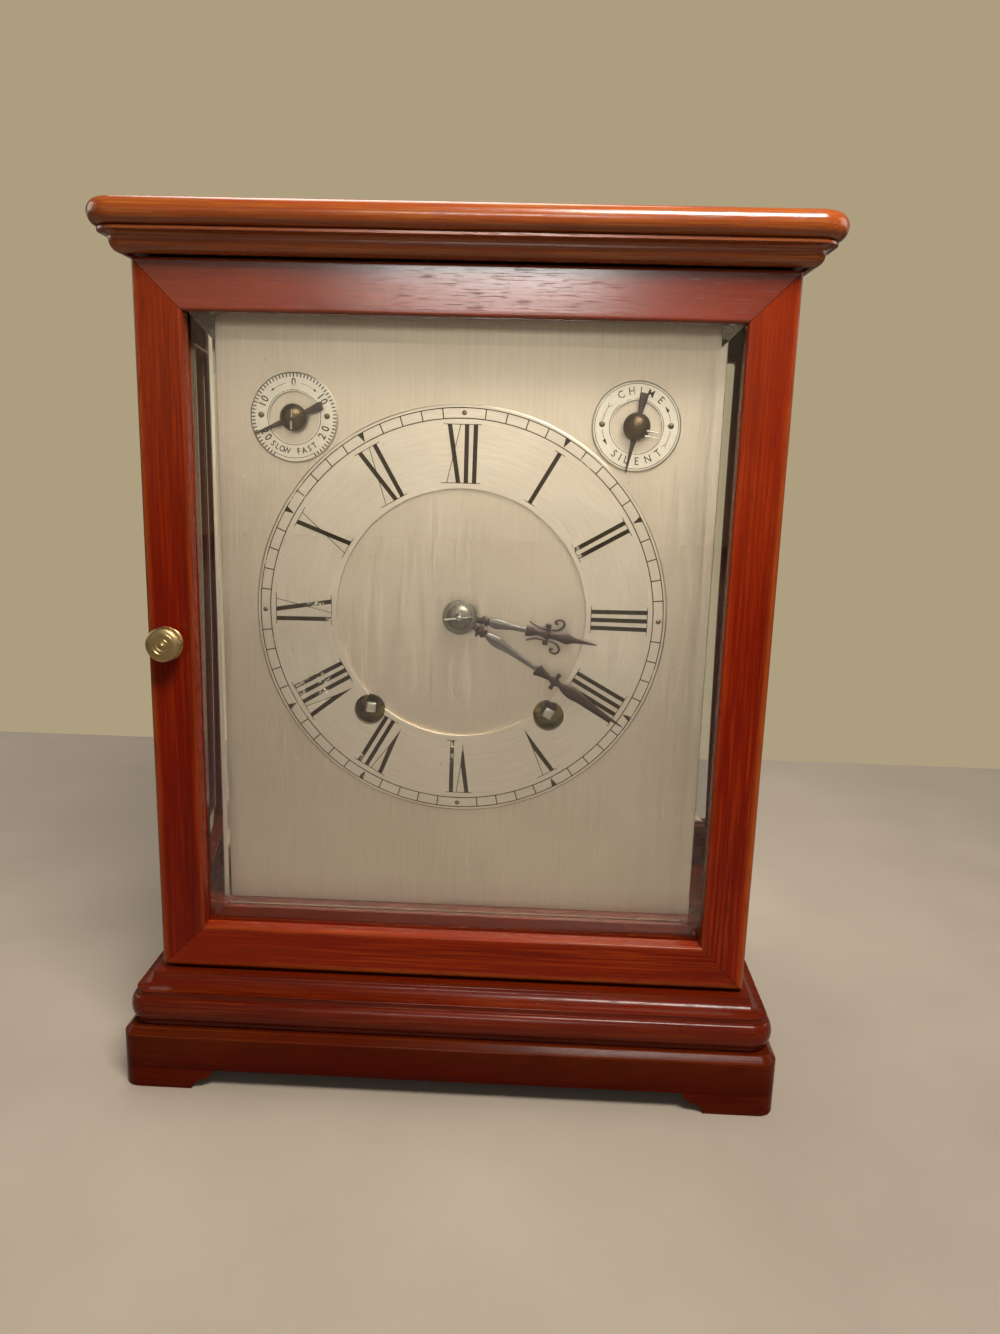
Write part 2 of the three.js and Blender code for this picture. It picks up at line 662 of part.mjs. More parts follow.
for (const [end, side] of [['front', -1], ['back', 1]]) {
  const place = (u, v, depth) => new THREE.Vector3(u, -side * (doorFront + depth), carcassMiddle + v);
  const member = (from, to) => mitredMember(DOOR_WIDTH, DOOR_HEIGHT, doorSection, from, to, place);
  const stileLeft = cut(member([-1, -1], [-1, 1]), spindleBore(side));
  const stileRight = cut(member([1, -1], [1, 1]), ...hingeMortises(leafSeat, doorBack + 1, side));
  if (end === 'front') {
    add('front_door_stile_left', stileLeft, mahogany);
    add('front_door_stile_right', stileRight, mahogany);
    add('front_door_rail_top', member([-1, 1], [1, 1]), mahogany);
    add('front_door_rail_bottom', member([-1, -1], [1, -1]), mahogany);
  } else {
    const frame = mitredFrame(DOOR_WIDTH, DOOR_HEIGHT, doorSection, place);
    const cuts = [spindleBore(side), ...hingeMortises(leafSeat, doorBack + 1, side)];
    add('back_door_frame', cut(frame, ...cuts), mahogany);
  }
  const glassPlace = (u, v, depth) => place(u, v, doorGlassDepth + depth);
  const pane = bevelledGlass(DOOR_WIDTH - glassInset, DOOR_HEIGHT - glassInset, glassPlace);
  add(`${end}_door_glass`, pane, clearGlass);
  add(`${end}_door_bead`, mitredFrame(DOOR_WIDTH, DOOR_HEIGHT, beadSection, place), mahogany);
  for (const [level, middle] of Object.entries(hingeMiddles)) {
    for (const [kind, leaf] of Object.entries(hingeLeaves(middle))) {
      add(`${end}_hinge_${level}_${kind}_leaf`, mirrorDepth(leaf, side), brass);
    }
  }
  add(`${end}_door_knob`, mirrorDepth(turningCatch(), side), brass);
}

// Dial

const windingZ = dialCentre - WINDING_DROP;
const smallDialZ = dialCentre + SMALL_DIAL_RISE;
const smallArborHole = ARBOR_RADIUS + RUN_GAP;
const dialBore = HOUR_PIPE_RADIUS + 1;

// Dial plate: a flat brass sheet on four riveted feet that stand against the movement.
const dialShape = rectangleShape(-DIAL_WIDTH / 2, DIAL_WIDTH / 2, dialBottom, dialTop);
for (const sx of [-1, 1]) {
  dialShape.holes.push(circlePath(sx * WINDING_X, windingZ, WINDING_HOLE));
  dialShape.holes.push(circlePath(sx * SMALL_DIAL_X, smallDialZ, smallArborHole));
}
dialShape.holes.push(circlePath(0, dialCentre, dialBore));
const dialFeet = [-1, 1].flatMap((sx) => [-1, 1].map((sz) => rod(
  DIAL_FOOT_RADIUS,
  dialBack - DIAL_THICKNESS / 2,
  plateFront - GLUE_GAP,
  sx * DIAL_FOOT_X,
  dialCentre + sz * DIAL_FOOT_RISE,
  10,
)));
add('dial_plate', joined(upright(dialShape, dialFront, DIAL_THICKNESS, 8), ...dialFeet), silvered);

// Chapter ring and the rings of the two small dials, all riveted flat on the plate.
function dialRing(x, z, outer, inner, segments) {
  const back = dialFront - GLUE_GAP;
  const front = back - RING_THICKNESS;
  const section = [[inner, front], [outer, front], [outer, back], [inner, back], [inner, front]];
  return turned(section, x, z, segments);
}
const windingCuts = [-1, 1].map((sx) => rod(
  WINDING_HOLE, dialFront - 2 * RING_THICKNESS, dialBack, sx * WINDING_X, windingZ, 16,
));
add('chapter_ring', cut(dialRing(0, dialCentre, RING_OUTER, RING_INNER, 60), ...windingCuts), silvered);
add('rate_ring', dialRing(-SMALL_DIAL_X, smallDialZ, SMALL_RING_OUTER, SMALL_RING_INNER, 28), silvered);
add('chime_ring', dialRing(SMALL_DIAL_X, smallDialZ, SMALL_RING_OUTER, SMALL_RING_INNER, 28), silvered);

// Hands

const ringFront = dialFront - GLUE_GAP - RING_THICKNESS;
const hourHandFront = ringFront - 2 * HAND_THICKNESS - RUN_GAP;
const minuteHandFront = hourHandFront - 2 * HAND_THICKNESS;
const colletFront = minuteHandFront - GLUE_GAP - COLLET_HEIGHT;

// A hand is drawn pointing up: a smooth half outline of [distance, half width], mirrored.
function handOutline(stations, steps) {
  const points = stations.map(([reach, half]) => new THREE.Vector2(half, reach));
  const right = new THREE.SplineCurve(points).getPoints(steps);
  const left = right.slice(0, -1).reverse().map((point) => new THREE.Vector2(-point.x, point.y));
  return new THREE.Shape([...right, ...left.filter((point) => point.x < 0)]);
}

function turnedTo(geometry, degrees, x, z) {
  return geometry.rotateY(radians(degrees)).translate(x, 0, z);
}

function disc(radius, front, thickness, segments = 18) {
  return rod(radius, front, front + thickness, 0, 0, segments);
}

// A straight sided stretch of a hand, from one [distance, half width] to another.
function handTaper([from, halfFrom], [to, halfTo]) {
  const corners = [[halfFrom, from], [halfTo, to], [-halfTo, to], [-halfFrom, from]];
  return new THREE.Shape(corners.map(([x, reach]) => new THREE.Vector2(x, reach)));
}

// A ribbon of even width along a smooth curve through [side, distance] points.
function ribbon(points, half, steps) {
  const curve = new THREE.SplineCurve(points.map(([x, reach]) => new THREE.Vector2(x, reach)));
  const edge = (sign, t) => {
    const middle = curve.getPoint(t);
    const along = curve.getTangent(t);
    return new THREE.Vector2(middle.x - sign * half * along.y, middle.y + sign * half * along.x);
  };
  const shares = Array.from({ length: steps + 1 }, (_, i) => i / steps);
  const right = shares.map((t) => edge(-1, t));
  const left = shares.map((t) => edge(1, t)).reverse();
  return new THREE.Shape([...right, ...left]);
}

// Minute hand: a baluster limb behind a knop, a bell collar, a cross and a leaf shaped blade.
const m = MINUTE_HAND_LENGTH;
const minuteParts = [
  handOutline([
    [0.05 * m, 1.5], [0.11 * m, 1], [0.128 * m, 2.2], [0.147 * m, 1],
    [0.23 * m, 2.3], [0.32 * m, 1.7], [0.47 * m, 0.9],
  ], 18),
  handTaper([0.467 * m, 2.4], [0.545 * m, 1]),
  handTaper([0.54 * m, 1], [0.63 * m, 0.9]),
  handTaper([0.568 * m, 3.5], [0.597 * m, 3.5]),
  handOutline([[0.61 * m, 0.9], [0.69 * m, 2.5], [0.79 * m, 1.7], [0.9 * m, 0.9], [m, 0.2]], 12),
];
const minuteBlank = joined(
  disc(HAND_BOSS, minuteHandFront, HAND_THICKNESS),
  ...minuteParts.map((shape) => upright(shape, minuteHandFront, HAND_THICKNESS)),
);
const minuteBore = rod(CANNON_PIPE_RADIUS + GLUE_GAP, colletFront, ringFront, 0, 0);
add('minute_hand', turnedTo(cut(minuteBlank, minuteBore), MINUTE_HAND_ANGLE, 0, dialCentre), darkSteel);

// Hour hand: a shorter limb and collar, a bar with a scroll and a tail at each end, and a spear.
const h = HOUR_HAND_LENGTH;
const scroll = (side) => ribbon([
  [0.064 * h, 0.632 * h], [0.05 * h, 0.665 * h], [0.05 * h, 0.705 * h], [0.066 * h, 0.74 * h],
  [0.091 * h, 0.752 * h], [0.118 * h, 0.738 * h], [0.123 * h, 0.707 * h], [0.108 * h, 0.683 * h],
  [0.092 * h, 0.69 * h], [0.091 * h, 0.71 * h],
].map(([x, reach]) => [side * x, reach]), 0.42, 14);
const tailHorn = (side) => ribbon([
  [0.056 * h, 0.632 * h], [0.043 * h, 0.58 * h], [0.047 * h, 0.537 * h], [0.073 * h, 0.491 * h],
].map(([x, reach]) => [side * x, reach]), 0.4, 6);
const hourParts = [
  handOutline([
    [0.07 * h, 1.6], [0.155 * h, 1.1], [0.18 * h, 2.3], [0.205 * h, 1.1],
    [0.27 * h, 2.2], [0.36 * h, 1.6], [0.485 * h, 0.9],
  ], 18),
  handTaper([0.48 * h, 1.95], [0.58 * h, 0.95]),
  handTaper([0.57 * h, 0.95], [0.69 * h, 0.9]),
  handTaper([0.611 * h, 4.1], [0.654 * h, 4.1]),
  handOutline([
    [0.66 * h, 0.9], [0.72 * h, 1.1], [0.785 * h, 2.1], [0.84 * h, 1.1], [0.89 * h, 0.5], [h, 0.2],
  ], 12),
  scroll(1), scroll(-1), tailHorn(1), tailHorn(-1),
];
const hourBlank = joined(
  disc(HAND_BOSS + 2 * RUN_GAP, hourHandFront, HAND_THICKNESS),
  ...hourParts.map((shape) => upright(shape, hourHandFront, HAND_THICKNESS)),
);
const hourBore = rod(HOUR_PIPE_RADIUS + GLUE_GAP, colletFront, ringFront, 0, 0);
add('hour_hand', turnedTo(cut(hourBlank, hourBore), HOUR_HAND_ANGLE, 0, dialCentre), darkSteel);

// Collet: the domed washer that a taper pin holds down on the minute hand.
const domeCurve = arc(0, 0, 1, 90, 0, 5).map(([c, s]) => (
  [COLLET_RADIUS * c, minuteHandFront - GLUE_GAP - COLLET_HEIGHT * s]
));
const colletBlank = turned([...domeCurve, [0, minuteHandFront - GLUE_GAP]], 0, 0, 18);
const pinLength = COLLET_RADIUS * 1.5;
const pinLevel = colletFront + HAND_THICKNESS / 2;
const taperPin = new THREE.CylinderGeometry(0.6, 0.45, pinLength, 8)
  .rotateZ(radians(90))
  .translate(0, pinLevel, 0);
const arborTip = rod(ARBOR_RADIUS, colletFront - HAND_THICKNESS, minuteHandFront - GLUE_GAP, 0, 0, 12);
const collet = joined(colletBlank, taperPin, arborTip);
add('hand_collet', turnedTo(collet, MINUTE_HAND_ANGLE, 0, dialCentre), bronze);

// Small hands: a pointer, a spade tail and a domed boss, on an arbor that passes the dial.
const smallHandFront = ringFront - HAND_THICKNESS - RUN_GAP;
function smallHand(angle, x, camShape) {
  const pointer = handOutline([[0, 1.2], [SMALL_HAND_LENGTH * 0.5, 0.9], [SMALL_HAND_LENGTH, 0.25]], 8);
  const tail = handOutline([
    [0, 1], [SMALL_HAND_TAIL * 0.62, 0.7], [SMALL_HAND_TAIL * 0.78, 1.7], [SMALL_HAND_TAIL, 0.1],
  ], 14);
  const dome = arc(0, 0, 1, 90, 0, 4).map(([c, s]) => (
    [SMALL_BOSS * c, smallHandFront - COLLET_HEIGHT * s]
  ));
  const boss = turned([...dome, [0, smallHandFront + HAND_THICKNESS]], 0, 0, 14);
  const arbor = turned([
    [0, smallHandFront],
    [ARBOR_RADIUS, smallHandFront],
    [ARBOR_RADIUS, dialBack + RUN_GAP],
    [2 * ARBOR_RADIUS, dialBack + RUN_GAP],
    [2 * ARBOR_RADIUS, dialBack + RUN_GAP + WHEEL_THICKNESS],
    [ARBOR_RADIUS, dialBack + RUN_GAP + WHEEL_THICKNESS],
    [ARBOR_RADIUS, dialBack + RUN_GAP + 3 * WHEEL_THICKNESS],
    [0, dialBack + RUN_GAP + 3 * WHEEL_THICKNESS],
  ], 0, 0, 8);
  const cam = upright(camShape, dialBack + RUN_GAP + 2 * WHEEL_THICKNESS, WHEEL_THICKNESS / 2, 6);
  const hand = joined(
    upright(pointer, smallHandFront, HAND_THICKNESS),
    upright(tail, smallHandFront, HAND_THICKNESS).rotateY(Math.PI),
    boss,
    arbor,
    cam,
  );
  return turnedTo(hand, angle, x, smallDialZ);
}
// The rate arbor ends in a snail that lifts the suspension, the chime arbor in a plain lever.
const snailReach = (turn) => 3 * ARBOR_RADIUS + turn * 2 * ARBOR_RADIUS;
const snailPoints = Array.from({ length: 17 }, (_, i) => {
  const angle = (2 * Math.PI * i) / 16;
  const reach = snailReach(i / 16);
  return new THREE.Vector2(reach * Math.cos(angle), reach * Math.sin(angle));
});
const leverReach = 5 * ARBOR_RADIUS;
const chimeLever = new THREE.Shape()
  .absarc(0, 0, 2 * ARBOR_RADIUS, radians(30), radians(330), false)
  .absarc(leverReach, 0, ARBOR_RADIUS, radians(-80), radians(80), false);
add('rate_hand', smallHand(RATE_HAND_ANGLE, -SMALL_DIAL_X, new THREE.Shape(snailPoints)), bronze);
add('chime_hand', smallHand(CHIME_HAND_ANGLE, SMALL_DIAL_X, chimeLever), bronze);

// Movement

// A wheel with pointed teeth, tooth tips starting at the given angle, crossed out to four arms.
function wheelShape(teeth, module, phase, arms = 0) {
  const pitchRadius = (teeth * module) / 2;
  const tip = pitchRadius + 0.85 * module;
  const root = pitchRadius - 1.2 * module;
  const points = [];
  for (let i = 0; i < 2 * teeth; i += 1) {
    const angle = phase + (Math.PI * i) / teeth;
    const radius = i % 2 === 0 ? tip : root;
    points.push(new THREE.Vector2(radius * Math.cos(angle), radius * Math.sin(angle)));
  }
  const shape = new THREE.Shape(points);
  const rim = root - 2 * module;
  const hub = Math.max(0.3 * pitchRadius, 2.5 * ARBOR_RADIUS);
  for (let i = 0; i < arms; i += 1) {
    const from = (2 * Math.PI * (i + 0.1)) / arms;
    const to = (2 * Math.PI * (i + 0.9)) / arms;
    shape.holes.push(new THREE.Path().absarc(0, 0, rim, from, to, false).absarc(0, 0, hub, to, from, true));
  }
  return shape;
}

// A pinion with narrow leaves on radial flanks, one leaf centred on the given angle.
function pinionShape(leaves, module, phase) {
  const pitchRadius = (leaves * module) / 2;
  const pitch = (2 * Math.PI) / leaves;
  const leaf = [
    [pitchRadius - 1.3 * module, -0.17],
    [pitchRadius, -0.16],
    [pitchRadius + 0.5 * module, 0],
    [pitchRadius, 0.16],
    [pitchRadius - 1.3 * module, 0.17],
  ];
  const points = [];
  for (let i = 0; i < leaves; i += 1) {
    for (const [radius, share] of leaf) {
      const angle = phase + pitch * (i + share);
      points.push(new THREE.Vector2(radius * Math.cos(angle), radius * Math.sin(angle)));
    }
  }
  return new THREE.Shape(points);
}

// The angle that sets a gear's teeth between those of the gear it follows.
function meshPhase(phase, teeth, followerTeeth, from, to) {
  const direction = Math.atan2(to.z - from.z, to.x - from.x);
  return direction + Math.PI - ((phase - direction) * teeth + Math.PI) / followerTeeth;
}

const gearDistance = (module, a, b) => (module * (a + b)) / 2;

// The place at given distances from two others, on the right of the way from one to the other.
function meetingPlace(a, reachA, b, reachB) {
  const span = Math.hypot(b.x - a.x, b.z - a.z);
  const along = (reachA ** 2 - reachB ** 2 + span ** 2) / (2 * span);
  const aside = Math.sqrt(reachA ** 2 - along ** 2);
  const ux = (b.x - a.x) / span;
  const uz = (b.z - a.z) / span;
  return { x: a.x + ux * along + uz * aside, z: a.z + uz * along - ux * aside };
}

const centre = { x: 0, z: dialCentre };
const goingBarrel = { x: WINDING_X, z: windingZ };
const strikeBarrel = { x: -WINDING_X, z: windingZ };
const intermediate = meetingPlace(
  goingBarrel,
  gearDistance(GREAT_MODULE, GREAT_TEETH, GREAT_PINION_LEAVES),
  centre,
  gearDistance(INTERMEDIATE_MODULE, INTERMEDIATE_TEETH, CENTRE_PINION_LEAVES),
);
const thirdReach = gearDistance(CENTRE_MODULE, CENTRE_TEETH, THIRD_PINION_LEAVES);
const third = { x: THIRD_ARBOR_X, z: centre.z + Math.sqrt(thirdReach ** 2 - THIRD_ARBOR_X ** 2) };
const escapeReach = gearDistance(THIRD_MODULE, THIRD_TEETH, ESCAPE_PINION_LEAVES);
const escape = { x: 0, z: third.z + Math.sqrt(escapeReach ** 2 - THIRD_ARBOR_X ** 2) };
const pallets = { x: 0, z: escape.z + ESCAPE_RADIUS * Math.SQRT2 };
const motionReach = gearDistance(MOTION_MODULE, CANNON_LEAVES, MINUTE_WHEEL_TEETH);
const minuteStud = {
  x: motionReach * Math.cos(radians(MINUTE_STUD_ANGLE)),
  z: centre.z + motionReach * Math.sin(radians(MINUTE_STUD_ANGLE)),
};
const hammerStud = { x: HAMMER_X, z: centre.z - HAMMER_DROP };
const bobTail = BOB_RADIUS + 3 * WHEEL_THICKNESS;
const pendulumLength = pallets.z - carcassBottom - PENDULUM_CLEARANCE - bobTail;

// Planes of the wheels, from the back plate forward.
const intermediateFront = rearPlateFront - 2.4 * WHEEL_THICKNESS;
const greatFront = rearPlateFront - 5 * WHEEL_THICKNESS;
const escapeFront = rearPlateFront - 5 * WHEEL_THICKNESS;
const thirdFront = rearPlateFront - 9 * WHEEL_THICKNESS;
const centreFront = rearPlateFront - (2 / 3) * plateSpacing;
const drumFront = plateBack + DRUM_CLEARANCE;

const pivotHole = (radius) => radius * PIVOT_SHARE + PIVOT_GAP;
const trainArbors = [
  { ...intermediate, radius: ARBOR_RADIUS },
  { ...third, radius: FINE_ARBOR_RADIUS },
  { ...escape, radius: FINE_ARBOR_RADIUS },
];
const plateTop = centre.z + PLATE_TOP_RISE;
const plateBottom = centre.z - PLATE_BOTTOM_DROP;

function plateShape() {
  const shape = rectangleShape(-PLATE_WIDTH / 2, PLATE_WIDTH / 2, plateBottom, plateTop);
  for (const { x, z, radius } of trainArbors) {
    shape.holes.push(circlePath(x, z, pivotHole(radius)));
  }
  for (const { x, z } of [goingBarrel, strikeBarrel]) {
    shape.holes.push(circlePath(x, z, WINDING_ARBOR_RADIUS * 0.9 + PIVOT_GAP));
  }
  return shape;
}

// Front plate, with the stud that the minute wheel turns on.
const frontShape = plateShape();
frontShape.holes.push(circlePath(centre.x, centre.z, ARBOR_RADIUS + PIVOT_GAP));
frontShape.holes.push(circlePath(pallets.x, pallets.z, pivotHole(FINE_ARBOR_RADIUS)));
const minuteStudRadius = ARBOR_RADIUS * 0.9;
const studFront = plateFront - DIAL_TO_PLATE + RUN_GAP + WHEEL_THICKNESS;
const stud = rod(minuteStudRadius, studFront, plateBack - 1, minuteStud.x, minuteStud.z, 10);
add('front_plate', joined(upright(frontShape, plateFront, PLATE_THICKNESS, 5), stud), brass);

// Back plate, with four turned pillars riveted into it and the stud of the hammer.
const pillarProfile = [
  [0, plateBack + GLUE_GAP],
  [PILLAR_RADIUS, plateBack + GLUE_GAP],
  [PILLAR_RADIUS, plateBack + 3],
  [PILLAR_RADIUS * 0.7, plateBack + 6],
  [PILLAR_RADIUS * 0.7, rearPlateFront - 6],
  [PILLAR_RADIUS, rearPlateFront - 3],
  [PILLAR_RADIUS, rearPlateBack - 1],
  [0, rearPlateBack - 1],
];
const pillars = [-1, 1].flatMap((sx) => [plateBottom + PILLAR_INSET, plateTop - PILLAR_INSET].map((z) => (
  turned(pillarProfile, sx * (PLATE_WIDTH / 2 - PILLAR_INSET), z, 8)
)));
const rearShape = plateShape();
rearShape.holes.push(circlePath(centre.x, centre.z, pivotHole(ARBOR_RADIUS)));
rearShape.holes.push(circlePath(pallets.x, pallets.z, FINE_ARBOR_RADIUS + PIVOT_GAP));
const pendulumPlane = rearPlateBack + PENDULUM_SETBACK;
const hammerStudEnd = gongPlane + 2 * WHEEL_THICKNESS;
const hammerPost = rod(ARBOR_RADIUS, rearPlateFront + 1, hammerStudEnd, hammerStud.x, hammerStud.z, 10);
const rearPlate = upright(rearShape, rearPlateFront, PLATE_THICKNESS, 5);
add('back_plate', joined(rearPlate, ...pillars, hammerPost), brass);

// Seat: a wooden bridge over the case floor that carries the movement.
const seatTop = plateBottom - GLUE_GAP;
const seatShape = new THREE.Shape([
  [-SEAT_WIDTH / 2, carcassBottom],
  [SEAT_THICKNESS - SEAT_WIDTH / 2, carcassBottom],
  [SEAT_THICKNESS - SEAT_WIDTH / 2, seatTop - SEAT_THICKNESS],
  [SEAT_WIDTH / 2 - SEAT_THICKNESS, seatTop - SEAT_THICKNESS],
  [SEAT_WIDTH / 2 - SEAT_THICKNESS, carcassBottom],
  [SEAT_WIDTH / 2, carcassBottom],
  [SEAT_WIDTH / 2, seatTop],
  [-SEAT_WIDTH / 2, seatTop],
].map(([x, z]) => new THREE.Vector2(x, z)));
add('movement_seat', upright(seatShape, plateFront, rearPlateBack - plateFront), mahogany);

// Barrels: a closed drum with its great wheel, free to turn on the winding arbor.
const windingTip = dialFront + WINDING_TIP_RECESS;
for (const [train, place] of [['going', goingBarrel], ['strike', strikeBarrel]]) {
  const drum = turned([
    [0, drumFront],
    [DRUM_RADIUS - 1, drumFront],
    [DRUM_RADIUS, drumFront + 1],
    [DRUM_RADIUS, greatFront + 1],
    [0, greatFront + 1],
  ], 0, 0, 20);
  const great = upright(wheelShape(GREAT_TEETH, GREAT_MODULE, 0), greatFront, 1.5 * WHEEL_THICKNESS);
  const bore = rod(WINDING_ARBOR_RADIUS + RUN_GAP, drumFront - 1, rearPlateFront, 0, 0, 12);
  add(`${train}_barrel`, cut(joined(drum, great), bore).translate(place.x, 0, place.z), brass);
  const pivot = WINDING_ARBOR_RADIUS * 0.9;
  const arbor = turned([
    [0, plateFront - 1],
    [pivot, plateFront - 1],
    [pivot, plateBack + END_SHAKE],
    [WINDING_ARBOR_RADIUS, plateBack + END_SHAKE],
    [WINDING_ARBOR_RADIUS, rearPlateFront - END_SHAKE],
    [pivot, rearPlateFront - END_SHAKE],
    [pivot, rearPlateBack + END_SHAKE],
    [0, rearPlateBack + END_SHAKE],
  ], 0, 0, 12);
  const half = WINDING_SQUARE / 2;
  const square = box([-half, half], [windingTip, plateFront], [-half, half]);
  add(`${train}_arbor`, joined(arbor, square).translate(place.x, 0, place.z), brightSteel);
}

// An arbor between the plates, with its pivots in their holes.
function arborRod(radius, front = plateFront - END_SHAKE, back = rearPlateBack + END_SHAKE) {
  const pivot = radius * PIVOT_SHARE;
  return turned([
    [0, front],
    [pivot, front],
    [pivot, plateBack + END_SHAKE],
    [radius, plateBack + END_SHAKE],
    [radius, rearPlateFront - END_SHAKE],
    [pivot, rearPlateFront - END_SHAKE],
    [pivot, back],
    [0, back],
  ], 0, 0, 10);
}

// Going train, each pinion set in mesh with the wheel before it.
const leafLength = 3 * WHEEL_THICKNESS;
const pinionAt = (leaves, module, phase, front) => (
  upright(pinionShape(leaves, module, phase), front, leafLength)
);

const intermediatePinion = meshPhase(0, GREAT_TEETH, GREAT_PINION_LEAVES, goingBarrel, intermediate);
add('intermediate_wheel', joined(
  arborRod(ARBOR_RADIUS),
  upright(wheelShape(INTERMEDIATE_TEETH, INTERMEDIATE_MODULE, 0, 4), intermediateFront, WHEEL_THICKNESS, 2),
  pinionAt(GREAT_PINION_LEAVES, GREAT_MODULE, intermediatePinion, intermediateFront - leafLength),
).translate(intermediate.x, 0, intermediate.z), brass);

// Centre wheel: its long front end carries the hands' cannon pinion.
const centrePinion = meshPhase(0, INTERMEDIATE_TEETH, CENTRE_PINION_LEAVES, intermediate, centre);
const centreArbor = joined(
  arborRod(ARBOR_RADIUS),
  rod(ARBOR_RADIUS, minuteHandFront + GLUE_GAP, plateBack + 1, 0, 0, 10),
);
add('centre_wheel', joined(
  centreArbor,
  upright(wheelShape(CENTRE_TEETH, CENTRE_MODULE, 0, 4), centreFront, WHEEL_THICKNESS, 2),
  pinionAt(
    CENTRE_PINION_LEAVES,
    INTERMEDIATE_MODULE,
    centrePinion,
    rearPlateFront - END_SHAKE - leafLength,
  ),
).translate(centre.x, 0, centre.z), brass);

const thirdPinion = meshPhase(0, CENTRE_TEETH, THIRD_PINION_LEAVES, centre, third);
add('third_wheel', joined(
  arborRod(FINE_ARBOR_RADIUS),
  upright(wheelShape(THIRD_TEETH, THIRD_MODULE, 0, 4), thirdFront, WHEEL_THICKNESS, 2),
  pinionAt(THIRD_PINION_LEAVES, CENTRE_MODULE, thirdPinion, centreFront - leafLength / 3),
).translate(third.x, 0, third.z), brass);

// Escape wheel: forward leaning teeth, with a gap between teeth at the top.
const escapePitch = (2 * Math.PI) / ESCAPE_TEETH;
const escapePoints = [];
for (let i = 0; i < ESCAPE_TEETH; i += 1) {
  const tipAngle = Math.PI / 2 + escapePitch * (i + 0.5);
  for (const [radius, lag] of [[ESCAPE_RADIUS, 0], [ESCAPE_RADIUS * 0.82, 0.3]]) {
    const angle = tipAngle + lag * escapePitch;
    escapePoints.push(new THREE.Vector2(radius * Math.cos(angle), radius * Math.sin(angle)));
  }
}
const escapePinion = meshPhase(0, THIRD_TEETH, ESCAPE_PINION_LEAVES, third, escape);
add('escape_wheel', joined(
  arborRod(FINE_ARBOR_RADIUS),
  upright(new THREE.Shape(escapePoints), escapeFront, WHEEL_THICKNESS),
  pinionAt(ESCAPE_PINION_LEAVES, THIRD_MODULE, escapePinion, thirdFront - leafLength / 3),
).translate(escape.x, 0, escape.z), brass);

// Anchor: two pallets over the escape wheel, and behind the back plate the crutch whose fork
// holds the pendulum rod. The pallets clear the wheel when the anchor stands level.
const palletReach = ESCAPE_RADIUS + RUN_GAP;
const escapeDrop = pallets.z - escape.z;
function palletPoint(degrees) {
  return [palletReach * Math.sin(radians(degrees)), palletReach * Math.cos(radians(degrees)) - escapeDrop];
}
const anchorRight = [
  [0.33 * ESCAPE_RADIUS, 0.22 * ESCAPE_RADIUS],
  [0.85 * ESCAPE_RADIUS, -0.22 * ESCAPE_RADIUS],
  [0.88 * ESCAPE_RADIUS, -0.5 * ESCAPE_RADIUS],
  palletPoint(47),
  palletPoint(43),
  [0.62 * ESCAPE_RADIUS, -0.42 * ESCAPE_RADIUS],
  [0.3 * ESCAPE_RADIUS, -0.18 * ESCAPE_RADIUS],
];
const anchorLeft = anchorRight.slice().reverse().map(([x, z]) => [-x, z]);
const anchorShape = new THREE.Shape([...anchorRight, ...anchorLeft].map(([x, z]) => new THREE.Vector2(x, z)));
const crutchFront = rearPlateBack + CRUTCH_CLEARANCE;
const crutchBack = crutchFront + WHEEL_THICKNESS;
const cockFront = crutchBack + CRUTCH_CLEARANCE;
const cockBack = cockFront + 1.5 * WHEEL_THICKNESS;
const crutchDrop = pendulumLength * 0.28;
const forkInner = PENDULUM_ROD_RADIUS + RUN_GAP;
const forkOuter = forkInner + WHEEL_THICKNESS;
const forkBack = pendulumPlane + 2 * PENDULUM_ROD_RADIUS;
const forkLow = -crutchDrop - WHEEL_THICKNESS;
const anchorPivot = FINE_ARBOR_RADIUS * PIVOT_SHARE;
const anchorArbor = turned([
  [0, plateFront - END_SHAKE],
  [anchorPivot, plateFront - END_SHAKE],
  [anchorPivot, plateBack + END_SHAKE],
  [FINE_ARBOR_RADIUS, plateBack + END_SHAKE],
  [FINE_ARBOR_RADIUS, cockFront - END_SHAKE],
  [anchorPivot, cockFront - END_SHAKE],
  [anchorPivot, cockBack - END_SHAKE],
  [0, cockBack - END_SHAKE],
], 0, 0, 10);
add('anchor', joined(
  anchorArbor,
  upright(anchorShape, escapeFront, WHEEL_THICKNESS),
  box([-WHEEL_THICKNESS, WHEEL_THICKNESS], [crutchFront, crutchBack], [-crutchDrop, 2 * FINE_ARBOR_RADIUS]),
  box([-forkOuter, forkOuter], [crutchFront, crutchBack], [forkLow, -crutchDrop]),
  box([-forkOuter, -forkInner], [crutchFront, forkBack], [forkLow, -crutchDrop]),
  box([forkInner, forkOuter], [crutchFront, forkBack], [forkLow, -crutchDrop]),
).translate(pallets.x, 0, pallets.z), brightSteel);

